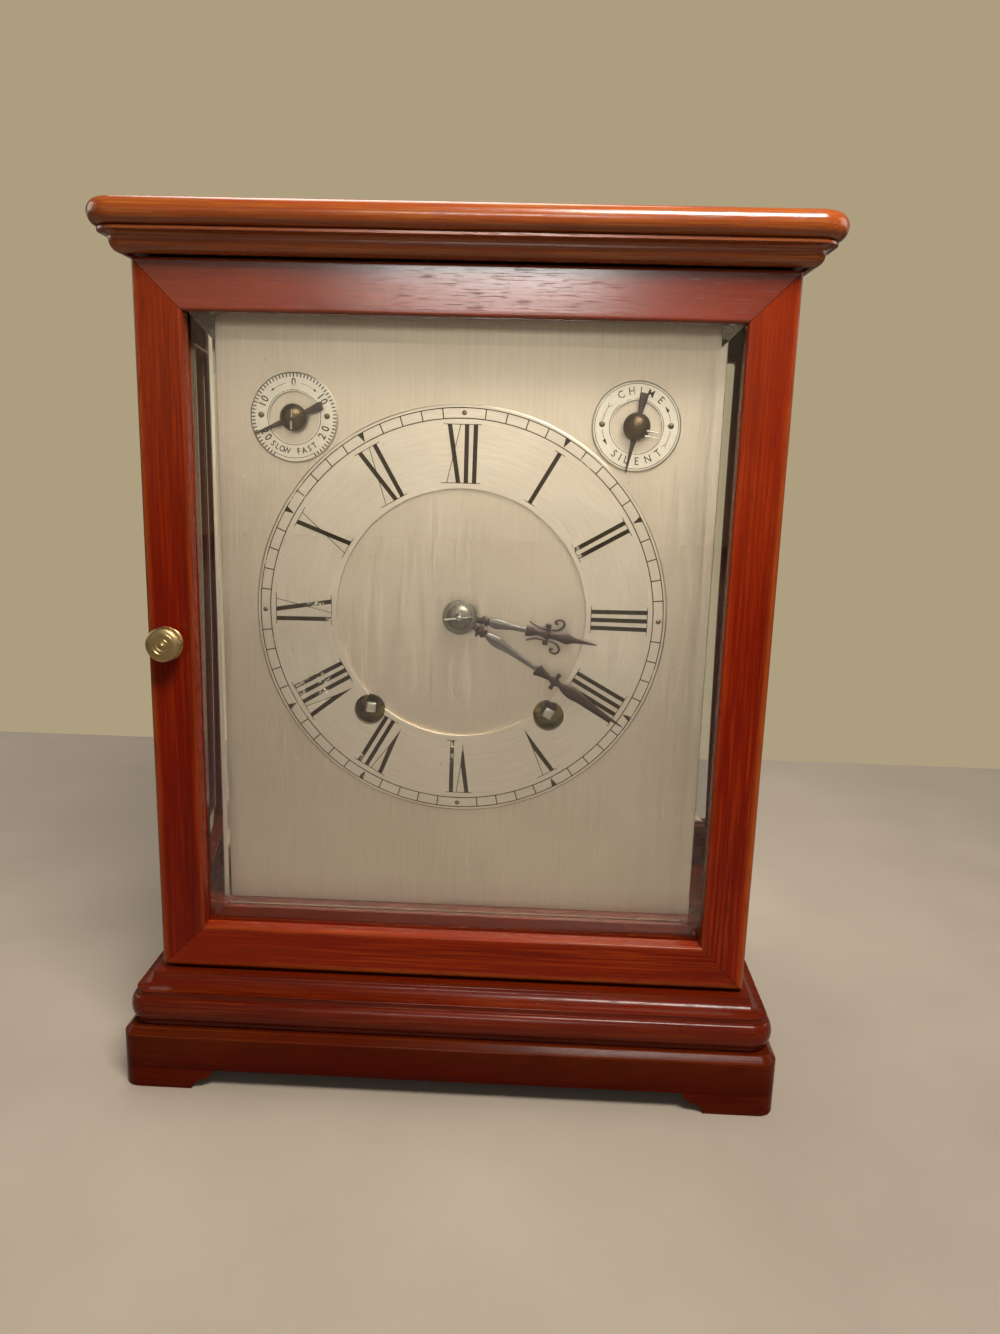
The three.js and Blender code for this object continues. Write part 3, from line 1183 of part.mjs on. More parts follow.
// Pendulum cock: a bridge on the back plate with the anchor's rear pivot hole and the stud
// that the pendulum hangs on, headed so that the pendulum stays on.
const cockHalf = ESCAPE_RADIUS;
const cockFoot = cockHalf * 0.6;
const studRadius = PENDULUM_ROD_RADIUS;
const eyeRadius = studRadius + RUN_GAP + WHEEL_THICKNESS;
const eyeHalf = WHEEL_THICKNESS;
const studBack = pendulumPlane + eyeHalf + RUN_GAP;
const cockRows = [-0.35 * ESCAPE_RADIUS, 0.45 * ESCAPE_RADIUS];
const cockBody = joined(
  box([-cockHalf, cockHalf], [cockFront, cockBack], cockRows),
  box([-cockHalf, -cockFoot], [rearPlateBack + GLUE_GAP, cockBack], cockRows),
  box([cockFoot, cockHalf], [rearPlateBack + GLUE_GAP, cockBack], cockRows),
);
const cockHole = rod(anchorPivot + PIVOT_GAP, cockFront - 1, cockBack - END_SHAKE / 2, 0, 0, 10);
const hangingStud = turned([
  [0, cockBack - END_SHAKE / 4],
  [studRadius, cockBack - END_SHAKE / 4],
  [studRadius, studBack],
  [eyeRadius, studBack],
  [eyeRadius, studBack + WHEEL_THICKNESS],
  [0, studBack + WHEEL_THICKNESS],
], 0, 0, 12);
const cock = joined(cut(cockBody, cockHole), hangingStud);
add('pendulum_cock', cock.translate(pallets.x, 0, pallets.z), brass);

// Pendulum: an eye, a flat suspension spring in its chop, the rod, a lens shaped bob and its nut.
const chopTop = -0.07 * pendulumLength;
const rodLow = -pendulumLength - bobTail;
const bobCurve = arc(0, 0, 1, -90, 90, 6).map(([c, s]) => (
  [BOB_RADIUS * c, pendulumPlane + (BOB_THICKNESS / 2) * s]
));
const springHalf = WHEEL_THICKNESS / 4;
const eyeRing = turned([
  [studRadius + RUN_GAP, pendulumPlane - eyeHalf],
  [eyeRadius, pendulumPlane - eyeHalf],
  [eyeRadius, pendulumPlane + eyeHalf],
  [studRadius + RUN_GAP, pendulumPlane + eyeHalf],
  [studRadius + RUN_GAP, pendulumPlane - eyeHalf],
], 0, 0, 12);
const springPlanes = [pendulumPlane - eyeHalf, pendulumPlane + eyeHalf];
add('pendulum', joined(
  eyeRing,
  box([-springHalf, springHalf], springPlanes, [chopTop - 1, springHalf - eyeRadius]),
  box([-eyeHalf, eyeHalf], springPlanes, [2 * chopTop, chopTop]),
  post(PENDULUM_ROD_RADIUS, rodLow, 2 * chopTop + 1, 0, pendulumPlane, 10),
  turned(bobCurve, 0, -pendulumLength, 20),
  post(3 * PENDULUM_ROD_RADIUS, rodLow + 1, rodLow + 4, 0, pendulumPlane, 12),
).translate(pallets.x, 0, pallets.z), brass);

// Motion work between the front plate and the dial: the cannon pinion carries the minute hand,
// and the minute wheel brings one twelfth of its turn to the hour wheel and its pipe.
const minuteWheelFront = plateFront - RUN_GAP - 2.5 * WHEEL_THICKNESS;
const hourWheelFront = dialBack + RUN_GAP + 1.5 * WHEEL_THICKNESS;
const cannonBore = rod(ARBOR_RADIUS + PIVOT_GAP, colletFront, plateFront, 0, 0, 12);
const cannonFoot = minuteWheelFront - WHEEL_THICKNESS / 2;
const cannonBlank = joined(
  rod(CANNON_PIPE_RADIUS, minuteHandFront + GLUE_GAP, cannonFoot + WHEEL_THICKNESS, 0, 0, 14),
  upright(pinionShape(CANNON_LEAVES, MOTION_MODULE, 0), cannonFoot, 2 * WHEEL_THICKNESS),
);
add('cannon_pinion', cut(cannonBlank, cannonBore).translate(centre.x, 0, centre.z), brightSteel);

const minutePhase = meshPhase(0, CANNON_LEAVES, MINUTE_WHEEL_TEETH, centre, minuteStud);
const minuteBlankWheel = joined(
  upright(wheelShape(MINUTE_WHEEL_TEETH, MOTION_MODULE, minutePhase), minuteWheelFront, WHEEL_THICKNESS),
  upright(
    pinionShape(MINUTE_PINION_LEAVES, MOTION_MODULE, 0),
    hourWheelFront - WHEEL_THICKNESS / 2,
    minuteWheelFront - hourWheelFront + WHEEL_THICKNESS,
  ),
);
const minuteWheelBore = rod(minuteStudRadius + RUN_GAP, dialBack, plateFront, 0, 0, 12);
add('minute_wheel', cut(minuteBlankWheel, minuteWheelBore).translate(minuteStud.x, 0, minuteStud.z), brass);

const hourPhase = meshPhase(0, MINUTE_PINION_LEAVES, HOUR_WHEEL_TEETH, minuteStud, centre);
const hourBlankWheel = joined(
  upright(wheelShape(HOUR_WHEEL_TEETH, MOTION_MODULE, hourPhase), hourWheelFront, WHEEL_THICKNESS),
  rod(HOUR_PIPE_RADIUS, hourHandFront, hourWheelFront + WHEEL_THICKNESS, 0, 0, 16),
);
const hourPipeBore = rod(CANNON_PIPE_RADIUS + RUN_GAP, colletFront, plateFront, 0, 0, 14);
add('hour_wheel', cut(hourBlankWheel, hourPipeBore).translate(centre.x, 0, centre.z), brass);

// Gong: one wire wound in a flat spiral, its inner end held in the block of the stand.
const gongCentre = { x: 0, z: carcassBottom + GONG_RISE };
const gongSweep = 2 * Math.PI * GONG_TURNS;
const gongInner = GONG_RADIUS - GONG_PITCH * GONG_TURNS;
const gongTail = 2 * GONG_WIRE;
class GongWire extends THREE.Curve {
  getPoint(t, target = new THREE.Vector3()) {
    const spiralShare = 0.97;
    if (t > spiralShare) {
      const run = ((t - spiralShare) / (1 - spiralShare)) * gongTail;
      return target.set(gongCentre.x + run, gongPlane, gongCentre.z - gongInner);
    }
    const turn = (t / spiralShare) * gongSweep;
    const radius = GONG_RADIUS - (GONG_PITCH * turn) / (2 * Math.PI);
    const angle = turn - gongSweep - Math.PI / 2;
    return target.set(
      gongCentre.x + radius * Math.cos(angle), gongPlane, gongCentre.z + radius * Math.sin(angle),
    );
  }
}
const wireCorners = arc(0, 0, GONG_WIRE / 2, 0, 360 - 360 / GONG_SIDES, GONG_SIDES - 1);
const wireSection = new THREE.Shape(wireCorners.map(([u, v]) => new THREE.Vector2(u, v)));
const gongSteps = Math.round(24 * GONG_TURNS);
const gongWire = new GongWire();
const gong = new THREE.ExtrudeGeometry(wireSection, { steps: gongSteps, extrudePath: gongWire });
add('gong', welded(gong), brightSteel);

// The least room between neighbouring turns, measured on points along the wire.
const gongPoints = gongWire.getSpacedPoints(gongSteps);
const pointsPerTurn = 20;
let leastGap = Infinity;
gongPoints.forEach((point, i) => gongPoints.slice(i + pointsPerTurn / 2).forEach((other) => {
  leastGap = Math.min(leastGap, point.distanceTo(other) - GONG_WIRE);
}));
console.log(`gong wire, least gap to itself ${leastGap.toFixed(2)} mm`);

// Gong stand: a round foot on the case floor, a post behind the coil and the block for the wire.
const blockLeft = gongCentre.x + gongTail + RUN_GAP;
const blockHalf = 0.7 * GONG_WIRE;
const blockLevel = gongCentre.z - gongInner;
const standY = gongPlane + 2.5 * GONG_WIRE;
const standX = blockLeft + blockHalf;
const standFoot = standing([
  [0, carcassBottom],
  [4 * GONG_WIRE, carcassBottom],
  [4 * GONG_WIRE, carcassBottom + GONG_WIRE],
  [1.6 * GONG_WIRE, carcassBottom + 2.4 * GONG_WIRE],
  [1.2 * GONG_WIRE, blockLevel],
  [0, blockLevel],
], standX, standY, 14);
const wireBlock = box(
  [blockLeft, blockLeft + 2 * blockHalf],
  [gongPlane - GONG_WIRE, standY + GONG_WIRE],
  [blockLevel - GONG_WIRE / 2, blockLevel + GONG_WIRE],
);
add('gong_stand', joined(standFoot, wireBlock), darkSteel);

// Hammer: an arm that hangs on its stud, with a round head just clear of the gong.
const armLength = hammerStud.z - gongCentre.z;
const hammerEye = ARBOR_RADIUS + RUN_GAP + WHEEL_THICKNESS;
const strikeFace = gongCentre.x + GONG_RADIUS + GONG_WIRE / 2 + 4 * RUN_GAP - hammerStud.x;
const hammerHead = new THREE.CylinderGeometry(
  HAMMER_HEAD_RADIUS, HAMMER_HEAD_RADIUS, 2 * Math.abs(strikeFace), 14,
).rotateZ(Math.PI / 2).translate(0, gongPlane, -armLength);
const hammerBlank = joined(
  rod(hammerEye, gongPlane - WHEEL_THICKNESS, gongPlane + WHEEL_THICKNESS, 0, 0, 14),
  post(0.9 * ARBOR_RADIUS, -armLength, -hammerEye + 1, 0, gongPlane, 10),
  hammerHead,
);
const hammerBore = rod(ARBOR_RADIUS + RUN_GAP, rearPlateBack, hammerStudEnd + 1, 0, 0, 10);
add('hammer', cut(hammerBlank, hammerBore).translate(hammerStud.x, 0, hammerStud.z), brass);

export default clock;
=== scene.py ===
# A four glass mantel clock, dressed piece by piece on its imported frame: French polished mahogany,
# bevelled glass, a silvered dial with waxed figures, steel hands and a brass movement.
import json
import math

import bmesh
import bpy
from mathutils import Matrix, Vector

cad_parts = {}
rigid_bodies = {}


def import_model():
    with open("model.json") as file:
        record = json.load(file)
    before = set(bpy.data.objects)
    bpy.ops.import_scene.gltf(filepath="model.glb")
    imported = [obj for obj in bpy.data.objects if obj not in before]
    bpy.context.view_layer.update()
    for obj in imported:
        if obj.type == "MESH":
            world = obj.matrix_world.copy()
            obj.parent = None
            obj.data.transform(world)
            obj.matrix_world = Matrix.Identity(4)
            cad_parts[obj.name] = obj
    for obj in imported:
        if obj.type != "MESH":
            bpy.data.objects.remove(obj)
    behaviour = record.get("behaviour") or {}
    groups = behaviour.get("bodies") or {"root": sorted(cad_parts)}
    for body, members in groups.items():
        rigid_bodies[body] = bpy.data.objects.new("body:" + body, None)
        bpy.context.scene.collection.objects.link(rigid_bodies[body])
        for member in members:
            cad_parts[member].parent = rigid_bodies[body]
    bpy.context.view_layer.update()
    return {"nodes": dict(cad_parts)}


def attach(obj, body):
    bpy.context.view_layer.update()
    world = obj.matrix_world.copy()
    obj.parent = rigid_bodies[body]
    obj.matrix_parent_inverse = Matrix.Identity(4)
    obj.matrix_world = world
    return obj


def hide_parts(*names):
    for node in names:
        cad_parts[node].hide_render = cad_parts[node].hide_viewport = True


for left_over in list(bpy.data.objects):
    bpy.data.objects.remove(left_over)
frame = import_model()

# Mahogany: close grained red wood, stained crimson, filled and French polished. Broad darker bands and
# fine pale streaks follow the grain. On marked arrises the stain turns pale orange, partly wear and partly
# a painted highlight, and towards the top of the case it is painted paler as painted light from above.
# Pale orange laid on marked arrises: partly wear of the stain and polish, partly a painted highlight.
WEAR_AND_SHEEN_ORANGE = (0.245, 0.052, 0.009, 1)
# Heights in metres over which the stain is painted paler, a painted light from above.
TOP_LIGHT_FROM, TOP_LIGHT_TO = 0.19, 0.31


def feed(tree, socket, value):
    """Joins a socket to another node's output, or sets it to a plain value."""
    if isinstance(value, bpy.types.NodeSocket):
        tree.links.new(value, socket)
    else:
        socket.default_value = value


def node(tree, kind, settings=None, **sockets):
    """A shader node with its settings, and its sockets set or joined by name."""
    made = tree.nodes.new(kind)
    for name, value in (settings or {}).items():
        setattr(made, name, value)
    for name, value in sockets.items():
        feed(tree, made.inputs[name.replace("_", " ")], value)
    return made


def maths(tree, operation, first, second=0.0):
    """A sum of two values, or of one, by the name of its operation."""
    made = node(tree, "ShaderNodeMath", {"operation": operation})
    feed(tree, made.inputs[0], first)
    feed(tree, made.inputs[1], second)
    return made.outputs[0]


def between(tree, value, low, high, least=0.0, most=1.0):
    """The value, read from low to high and put out from least to most."""
    made = node(
        tree, "ShaderNodeMapRange", Value=value, From_Min=low, From_Max=high, To_Min=least, To_Max=most,
    )
    return made.outputs["Result"]


def stained(tree, share, first, second):
    """One colour laid over another by a share of it."""
    made = node(tree, "ShaderNodeMix", {"data_type": "RGBA"})
    for place, value in ((0, share), (6, first), (7, second)):
        feed(tree, made.inputs[place], value)
    return made.outputs[2]


def stretched(tree, vector, factors):
    """A place on the piece, times a factor each way."""
    made = node(tree, "ShaderNodeVectorMath", {"operation": "MULTIPLY"}, Vector=vector)
    made.inputs[1].default_value = factors
    return made.outputs[0]


def cloud(tree, vector, scale, detail, twist=0.0):
    """A soft noise over the piece, from 0 to 1."""
    made = node(tree, "ShaderNodeTexNoise", Vector=vector, Scale=scale, Detail=detail, Distortion=twist)
    return made.outputs["Fac"]


SURFACE_SOCKETS = (("Color", "Color"), ("Roughness", "Float"), ("Height", "Float"))


def new_effect(name, *inputs):
    """An empty node group with named sockets, and its input and output nodes."""
    group = bpy.data.node_groups.new(name, "ShaderNodeTree")
    for way, sockets in (("INPUT", inputs), ("OUTPUT", SURFACE_SOCKETS)):
        for label, kind in sockets:
            group.interface.new_socket(label, in_out=way, socket_type=f"NodeSocket{kind}")
    return group, group.nodes.new("NodeGroupInput").outputs, group.nodes.new("NodeGroupOutput")


def put_out(group, end, **results):
    """Joins an effect's results to its output sockets by name."""
    for name, result in results.items():
        group.links.new(result, end.inputs[name])


def new_finish(name):
    """An empty material, its tree, the place on the piece, and the surface that its nodes feed."""
    material = bpy.data.materials.new(name)
    material.use_nodes = True
    tree = material.node_tree
    where = node(tree, "ShaderNodeTexCoord").outputs["Object"]
    return material, tree, where, tree.nodes["Principled BSDF"]


def laid_on(tree, surface, finish, strength, depth):
    """Gives a surface the colour, the polish and the relief that an effect puts out."""
    bump = node(tree, "ShaderNodeBump", Strength=strength, Distance=depth, Height=finish["Height"])
    tree.links.new(finish["Color"], surface.inputs["Base Color"])
    tree.links.new(finish["Roughness"], surface.inputs["Roughness"])
    tree.links.new(bump.outputs[0], surface.inputs["Normal"])


figuring, wood_in, wood_out = new_effect(
    "mahogany figure", ("Grain", "Vector"), ("Ground", "Color"), ("Heart", "Color"), ("Streak", "Color"),
    ("Rubbed", "Float"),
)


def along_grain(stretch, scale, detail, twist=0.0):
    """A noise drawn out along the grain."""
    return cloud(figuring, stretched(figuring, wood_in["Grain"], (1, 1, stretch)), scale, detail, twist)


bands = along_grain(0.1, 75, 4, 0.5)
streaks = along_grain(0.022, 1500, 3)
mottle = along_grain(0.35, 30, 3, 0.4)
pores = between(figuring, along_grain(0.05, 2400, 2), 0.56, 0.68)
heart_share = between(figuring, bands, 0.36, 0.68, 0.85, 0)
streak_share = between(figuring, streaks, 0.45, 0.72)
streak_share = maths(figuring, "MULTIPLY", streak_share, between(figuring, mottle, 0.3, 0.7, 0.25, 1.0))
# Wear and painted highlight: where the mesh marks an arris, the stain is painted towards pale orange.
sheen_wear_mix = between(figuring, mottle, 0.3, 0.62, 0.35, 0.95)
sheen_wear_mix = maths(figuring, "MULTIPLY", wood_in["Rubbed"], sheen_wear_mix)
wood_colour = stained(figuring, heart_share, wood_in["Ground"], wood_in["Heart"])
wood_colour = stained(figuring, streak_share, wood_colour, wood_in["Streak"])
wood_colour = stained(figuring, sheen_wear_mix, wood_colour, WEAR_AND_SHEEN_ORANGE)
wood_colour = stained(figuring, maths(figuring, "MULTIPLY", pores, 0.7), wood_colour, wood_in["Heart"])
polish = between(figuring, mottle, 0.3, 0.7, 0.16, 0.24)
polish = maths(figuring, "ADD", polish, maths(figuring, "MULTIPLY", pores, 0.16))
relief = maths(figuring, "SUBTRACT", streaks, maths(figuring, "MULTIPLY", pores, 0.3))
put_out(figuring, wood_out, Color=wood_colour, Roughness=polish, Height=relief)

ALONG_X = (0, math.radians(90), 0)
ALONG_Y = (math.radians(90), 0, 0)
ALONG_Z = (0, 0, 0)


def mahogany(name, ground, grain, shift, gloss=0.12):
    """Polished mahogany of one ground colour, its grain along one axis, from its own part of the plank."""
    material, tree, where, surface = new_finish(name)
    plank = node(tree, "ShaderNodeMapping", Vector=where, Rotation=grain, Location=shift).outputs[0]
    height = node(tree, "ShaderNodeSeparateXYZ", Vector=where).outputs[2]
    # Painted light from above: towards the top the stain is painted up to 0.28 of the way to pale orange.
    painted_top_light = between(tree, height, TOP_LIGHT_FROM, TOP_LIGHT_TO, 0, 0.28)
    # The mesh's mark for wear and painted highlight on the arrises.
    pale_marks = node(tree, "ShaderNodeAttribute", {"attribute_name": "wear_and_sheen"}).outputs["Fac"]
    figure = node(
        tree, "ShaderNodeGroup", {"node_tree": figuring}, Grain=plank,
        Ground=(*ground, 1), Heart=(*(0.5 * part for part in ground), 1),
        Streak=(ground[0] * 1.35, ground[1] * 2.8, ground[2] * 3, 1),
        Rubbed=maths(tree, "MAXIMUM", painted_top_light, pale_marks),
    ).outputs
    surface.inputs["Specular IOR Level"].default_value = gloss
    laid_on(tree, surface, figure, 0.12, 0.00015)
    return material


# Bracket feet: at each corner two short lengths of mahogany, sawn to an ogee at the free end, meet
# under the plinth. Their outer corner is rounded with the plinth and the lower edge is rolled.
EASY_ANGLE = math.radians(50)


def settle(bm, name, body, slot, cad_node, *materials, crease=32):
    """Makes a piece that was drawn in millimetres an object of the clock, in metres, for its CAD node."""
    bmesh.ops.remove_doubles(bm, verts=bm.verts, dist=1e-4)
    bmesh.ops.recalc_face_normals(bm, faces=bm.faces)
    bmesh.ops.scale(bm, vec=(0.001, 0.001, 0.001), verts=bm.verts)
    mesh = bpy.data.meshes.new(name)
    bm.to_mesh(mesh)
    bm.free()
    mesh.shade_smooth()
    mesh.set_sharp_from_angle(angle=math.radians(crease))
    for material in materials:
        mesh.materials.append(material)
    piece = bpy.data.objects.new(name, mesh)
    bpy.context.scene.collection.objects.link(piece)
    flats = piece.modifiers.new("flat faces stay flat", "WEIGHTED_NORMAL")
    flats.keep_sharp, flats.weight = True, 100
    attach(piece, body)
    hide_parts(cad_node)


def shaped_by(bm, tool, way="DIFFERENCE"):
    """The piece after a tool has cut it, or has been glued to it."""
    blanks = []
    for source in (bm, tool):
        bmesh.ops.recalc_face_normals(source, faces=source.faces)
        mesh = bpy.data.meshes.new("blank")
        source.to_mesh(mesh)
        source.free()
        blank = bpy.data.objects.new("blank", mesh)
        bpy.context.scene.collection.objects.link(blank)
        blanks.append(blank)
    cutting = blanks[0].modifiers.new("cut", "BOOLEAN")
    cutting.object, cutting.operation, cutting.solver = blanks[1], way, "EXACT"
    bpy.context.view_layer.update()
    worked = bpy.data.meshes.new_from_object(blanks[0].evaluated_get(bpy.context.evaluated_depsgraph_get()))
    result = bmesh.new()
    result.from_mesh(worked)
    for blank in blanks:
        bpy.data.meshes.remove(blank.data)
    bpy.data.meshes.remove(worked)
    return result


def rounded(bm, edges, radius, segments, arris_sheen_wear=0.0):
    """Rounds edges over; on wood the round gets a share of wear and painted highlight, its borders half of
    it.
    """
    worked = bmesh.ops.bevel(
        bm, geom=edges, offset=radius, affect="EDGES", segments=segments, profile=0.5, material=-1,
        clamp_overlap=True,
    )
    if arris_sheen_wear:
        bm.normal_update()
        wear_and_sheen = bm.verts.layers.float["wear_and_sheen"]
        fresh = set(worked["faces"])
        borders = [
            e for f in fresh for e in f.edges
            if sum(face in fresh for face in e.link_faces) == 1 and e.calc_face_angle(0) < EASY_ANGLE
        ]
        on_border = {vert for edge in borders for vert in edge.verts}
        for vert in worked["verts"]:
            vert[wear_and_sheen] = arris_sheen_wear / 2 if vert in on_border else arris_sheen_wear


def drawn_out(bm, faces, way):
    """Draws faces out to a thickness."""
    geom = bmesh.ops.extrude_face_region(bm, geom=faces)["geom"]
    far = [v for v in geom if isinstance(v, bmesh.types.BMVert)]
    bmesh.ops.translate(bm, vec=way, verts=far)


def edges_where(bm, test):
    """The edges that have both ends where a test holds."""
    return [e for e in bm.edges if all(test(v) for v in e.verts)]


PLINTH_X, PLINTH_Y, CORNER_ROUND = 128, 88, 6.5
foot_outline = [(0, 0), (27.6, 0), (27.6, 3.0), (36, 5.2), (36, 8.3), (0, 8.3)]
OTHER_WAY = Matrix(((0, 1, 0, 0), (1, 0, 0, 0), (0, 0, 1, 0), (0, 0, 0, 1)))
# The feet's ground is darker than the case's: partly the wood's own tone, partly painted shade low down.
foot_wood = mahogany("foot_mahogany", (0.058, 0.0036, 0.0005), ALONG_X, (0.4, 0.1, 0), 0.05)
for end, sy in (("front", -1), ("back", 1)):
    for hand, sx in (("left", -1), ("right", 1)):
        legs = []
        for swap in (False, True):
            leg = bmesh.new()
            corners = [leg.verts.new((along, 0, rise)) for along, rise in foot_outline]
            leg.faces.new(corners)
            bmesh.ops.bevel(
                leg, geom=corners[2:4], offset=4.2, affect="VERTICES", segments=7, profile=0.5, material=-1,
            )
            drawn_out(leg, leg.faces[:], (0, 18, 0))
            if swap:
                bmesh.ops.transform(leg, matrix=OTHER_WAY, verts=leg.verts)
            legs.append(leg)
        foot = shaped_by(legs[0], legs[1], "UNION")
        rounded(foot, edges_where(foot, lambda v: v.co.xy.length < 0.01), CORNER_ROUND, 9)
        lower = edges_where(
            foot, lambda v: v.co.z < 0.01 and (min(v.co.x, v.co.y) < 0.01 or v.co.x + v.co.y < 8),
        )
        rounded(foot, [e for e in lower if len(e.link_faces) == 2], 1.3, 4)
        bmesh.ops.scale(foot, vec=(-sx, -sy, 1), verts=foot.verts)
        bmesh.ops.translate(foot, vec=(PLINTH_X * sx, PLINTH_Y * sy, 0), verts=foot.verts)
        settle(foot, f"bracket_foot_{end}_{hand}", "case", "mahogany", f"foot_{end}_{hand}", foot_wood)


# Plinth: a flat mahogany frame, open underneath, with rounded corners. Its upper edge is chamfered,
# and both arrises of the chamfer are eased so that they catch the light.
def wood_blank():
    """An empty piece of wood on which arrises can be marked for wear and painted highlight."""
    bm = bmesh.new()
    bm.verts.layers.float.new("wear_and_sheen")
    return bm


def block(bm, x, y, z):
    """A plain block between two limits each way, as a start for a shaped piece."""
    made = bmesh.ops.create_cube(bm, size=1)["verts"]
    bmesh.ops.scale(bm, vec=(x[1] - x[0], y[1] - y[0], z[1] - z[0]), verts=made)
    bmesh.ops.translate(bm, vec=((x[0] + x[1]) / 2, (y[0] + y[1]) / 2, (z[0] + z[1]) / 2), verts=made)
    return made


plinth = wood_blank()
block(plinth, (-PLINTH_X, PLINTH_X), (-PLINTH_Y, PLINTH_Y), (8.4, 24.4))
upright = [e for e in plinth.edges if abs(e.verts[0].co.z - e.verts[1].co.z) > 1]
rounded(plinth, upright, CORNER_ROUND, 9)
rounded(plinth, edges_where(plinth, lambda v: v.co.z > 24), 2.4, 1)
arris = edges_where(plinth, lambda v: v.co.z > 21)
# Painted highlight: the eased arrises of the chamfer are painted a thin pale orange line.
rounded(plinth, [e for e in arris if abs(e.verts[0].co.z - e.verts[1].co.z) < 0.01], 0.5, 3, 0.3)
well = bmesh.new()
block(well, (-104, 104), (-64, 64), (0, 30))
settle(
    shaped_by(plinth, well), "plinth_frame", "case", "mahogany", "plinth",
    # The plinth's ground is darker than the case's: partly the wood's own tone, partly painted shade low
    # down.
    mahogany("plinth_mahogany", (0.043, 0.0018, 0.0003), ALONG_X, (0.1, 0.5, 0.2), 0.05),
)

# Base moulding: a board worked round its edge with a neck, a torus, a quirk and a cavetto that
# rises to the case. It closes the case below, and the plinth is glued under it.
CASE_X, CASE_Y = 115, 75


def bow(across, rise, half_across, half_rise, start, end, steps):
    """Points of an arc of a moulding's section, from one angle to another."""
    angles = [math.radians(start + (end - start) * i / steps) for i in range(steps + 1)]
    return [(across + half_across * math.cos(a), rise + half_rise * math.sin(a)) for a in angles]


def run_moulding(section, pale_marks=()):
    """A board with its section of (overhang, height) carried round the case, corners turned."""
    bm = wood_blank()
    turn = min(overhang for overhang, _ in section)
    reach_x, reach_y = CASE_X + turn, CASE_Y + turn
    chain = [bm.verts.new((CASE_X + overhang, reach_y, rise)) for overhang, rise in section]
    # Painted highlight: the listed section points are painted pale orange along the whole run.
    for place in pale_marks:
        chain[place][bm.verts.layers.float["wear_and_sheen"]] = 0.6
    edges = [bm.edges.new(pair) for pair in zip(chain, chain[1:])]
    corners = [(1, 1), (-1, 1), (-1, -1), (1, -1)]
    runs = [(-2 * reach_x, 0, 0), (0, -2 * reach_y, 0), (2 * reach_x, 0, 0), (0, 2 * reach_y, 0)]
    for (sx, sy), run in zip(corners, runs):
        swept = bmesh.ops.spin(
            bm, geom=edges, cent=(sx * reach_x, sy * reach_y, 0), axis=(0, 0, 1), angle=math.radians(90),
            steps=10, use_merge=False,
        )
        edges = [e for e in swept["geom_last"] if isinstance(e, bmesh.types.BMEdge)]
        drawn = bmesh.ops.extrude_edge_only(bm, edges=edges)["geom"]
        bmesh.ops.translate(bm, vec=run, verts=[v for v in drawn if isinstance(v, bmesh.types.BMVert)])
        edges = [e for e in drawn if isinstance(e, bmesh.types.BMEdge) and all(v in drawn for v in e.verts)]
    bmesh.ops.remove_doubles(bm, verts=bm.verts, dist=1e-3)
    bmesh.ops.holes_fill(bm, edges=[e for e in bm.edges if e.is_boundary], sides=0)
    return bm


base_section = [(6.5, 24.5), (8.3, 24.5), (8.9, 25.1), (8.9, 26.3)]
base_section += bow(8.9, 31.55, 2.4, 4.95, -90, 90, 14)
base_section += [(8.7, 36.9), (8.7, 38.1), (9.0, 38.6)]
base_section += bow(8.9, 43.0, 6.2, 4.2, -90, -180, 12)
base_section += [(2.5, 43.2), (2.5, 44.0)]
settle(
    run_moulding(base_section), "base_moulding_board", "case", "mahogany", "base_moulding",
    # The base's ground is darker than the case's: partly the wood's own tone, partly painted shade low
    # down.
    mahogany("base_mahogany", (0.088, 0.006, 0.0007), ALONG_X, (0.2, 0.3, 0.7), 0.16), crease=40,
)

# Cornice: the same way of work on the board that closes the case above, with an ovolo at the door,
# a cove, a fillet painted pale as a painted highlight and a full round nose. A strip glued below it keeps
# dust from the door.
cornice_section = [(1.2, 312.6), (1.2, 311.8)]
cornice_section += bow(2.2, 316.4, 4.0, 4.6, -90, 0, 10)
cornice_section += bow(9.5, 316.6, 3.3, 1.5, 180, 90, 8)
fillet = len(cornice_section)
cornice_section += [(9.7, 318.3), (9.7, 319.1), (9.3, 319.4), (8.8, 319.6)]
cornice_section += bow(8.7, 324.0, 4.0, 4.4, -90, 90, 16)
cornice = run_moulding(cornice_section, (fillet, fillet + 1))
block(cornice, (-100, 100), (-57.8, -54.6), (305, 312.7))
settle(
    cornice, "cornice_board", "case", "mahogany", "cornice",
    mahogany("cornice_mahogany", (0.215, 0.036, 0.0047), ALONG_X, (0.6, 0.2, 0.3), 0.48), crease=40,
)

# Side frames: two stiles and two rails, mitred and glued up round their glass, which sits in a
# groove. The right frame is let in for the hinge leaves, the left one has a pocket for each catch.
# How far beside a marked arris the wear and painted highlight reach, in millimetres.
SHEEN_WEAR_SPREAD = 1.2


def put_into(whole, part):
    """Adds a part that was worked on its own to the piece that it belongs to."""
    mesh = bpy.data.meshes.new("part")
    part.to_mesh(mesh)
    part.free()
    whole.from_mesh(mesh)
    bpy.data.meshes.remove(mesh)


def moved(bm, verts, place, angle, axis):
    """Turns corners about an axis by degrees, then takes them to their place."""
    turn = Matrix.Rotation(math.radians(angle), 4, axis)
    bmesh.ops.transform(bm, matrix=Matrix.Translation(place) @ turn, verts=verts)


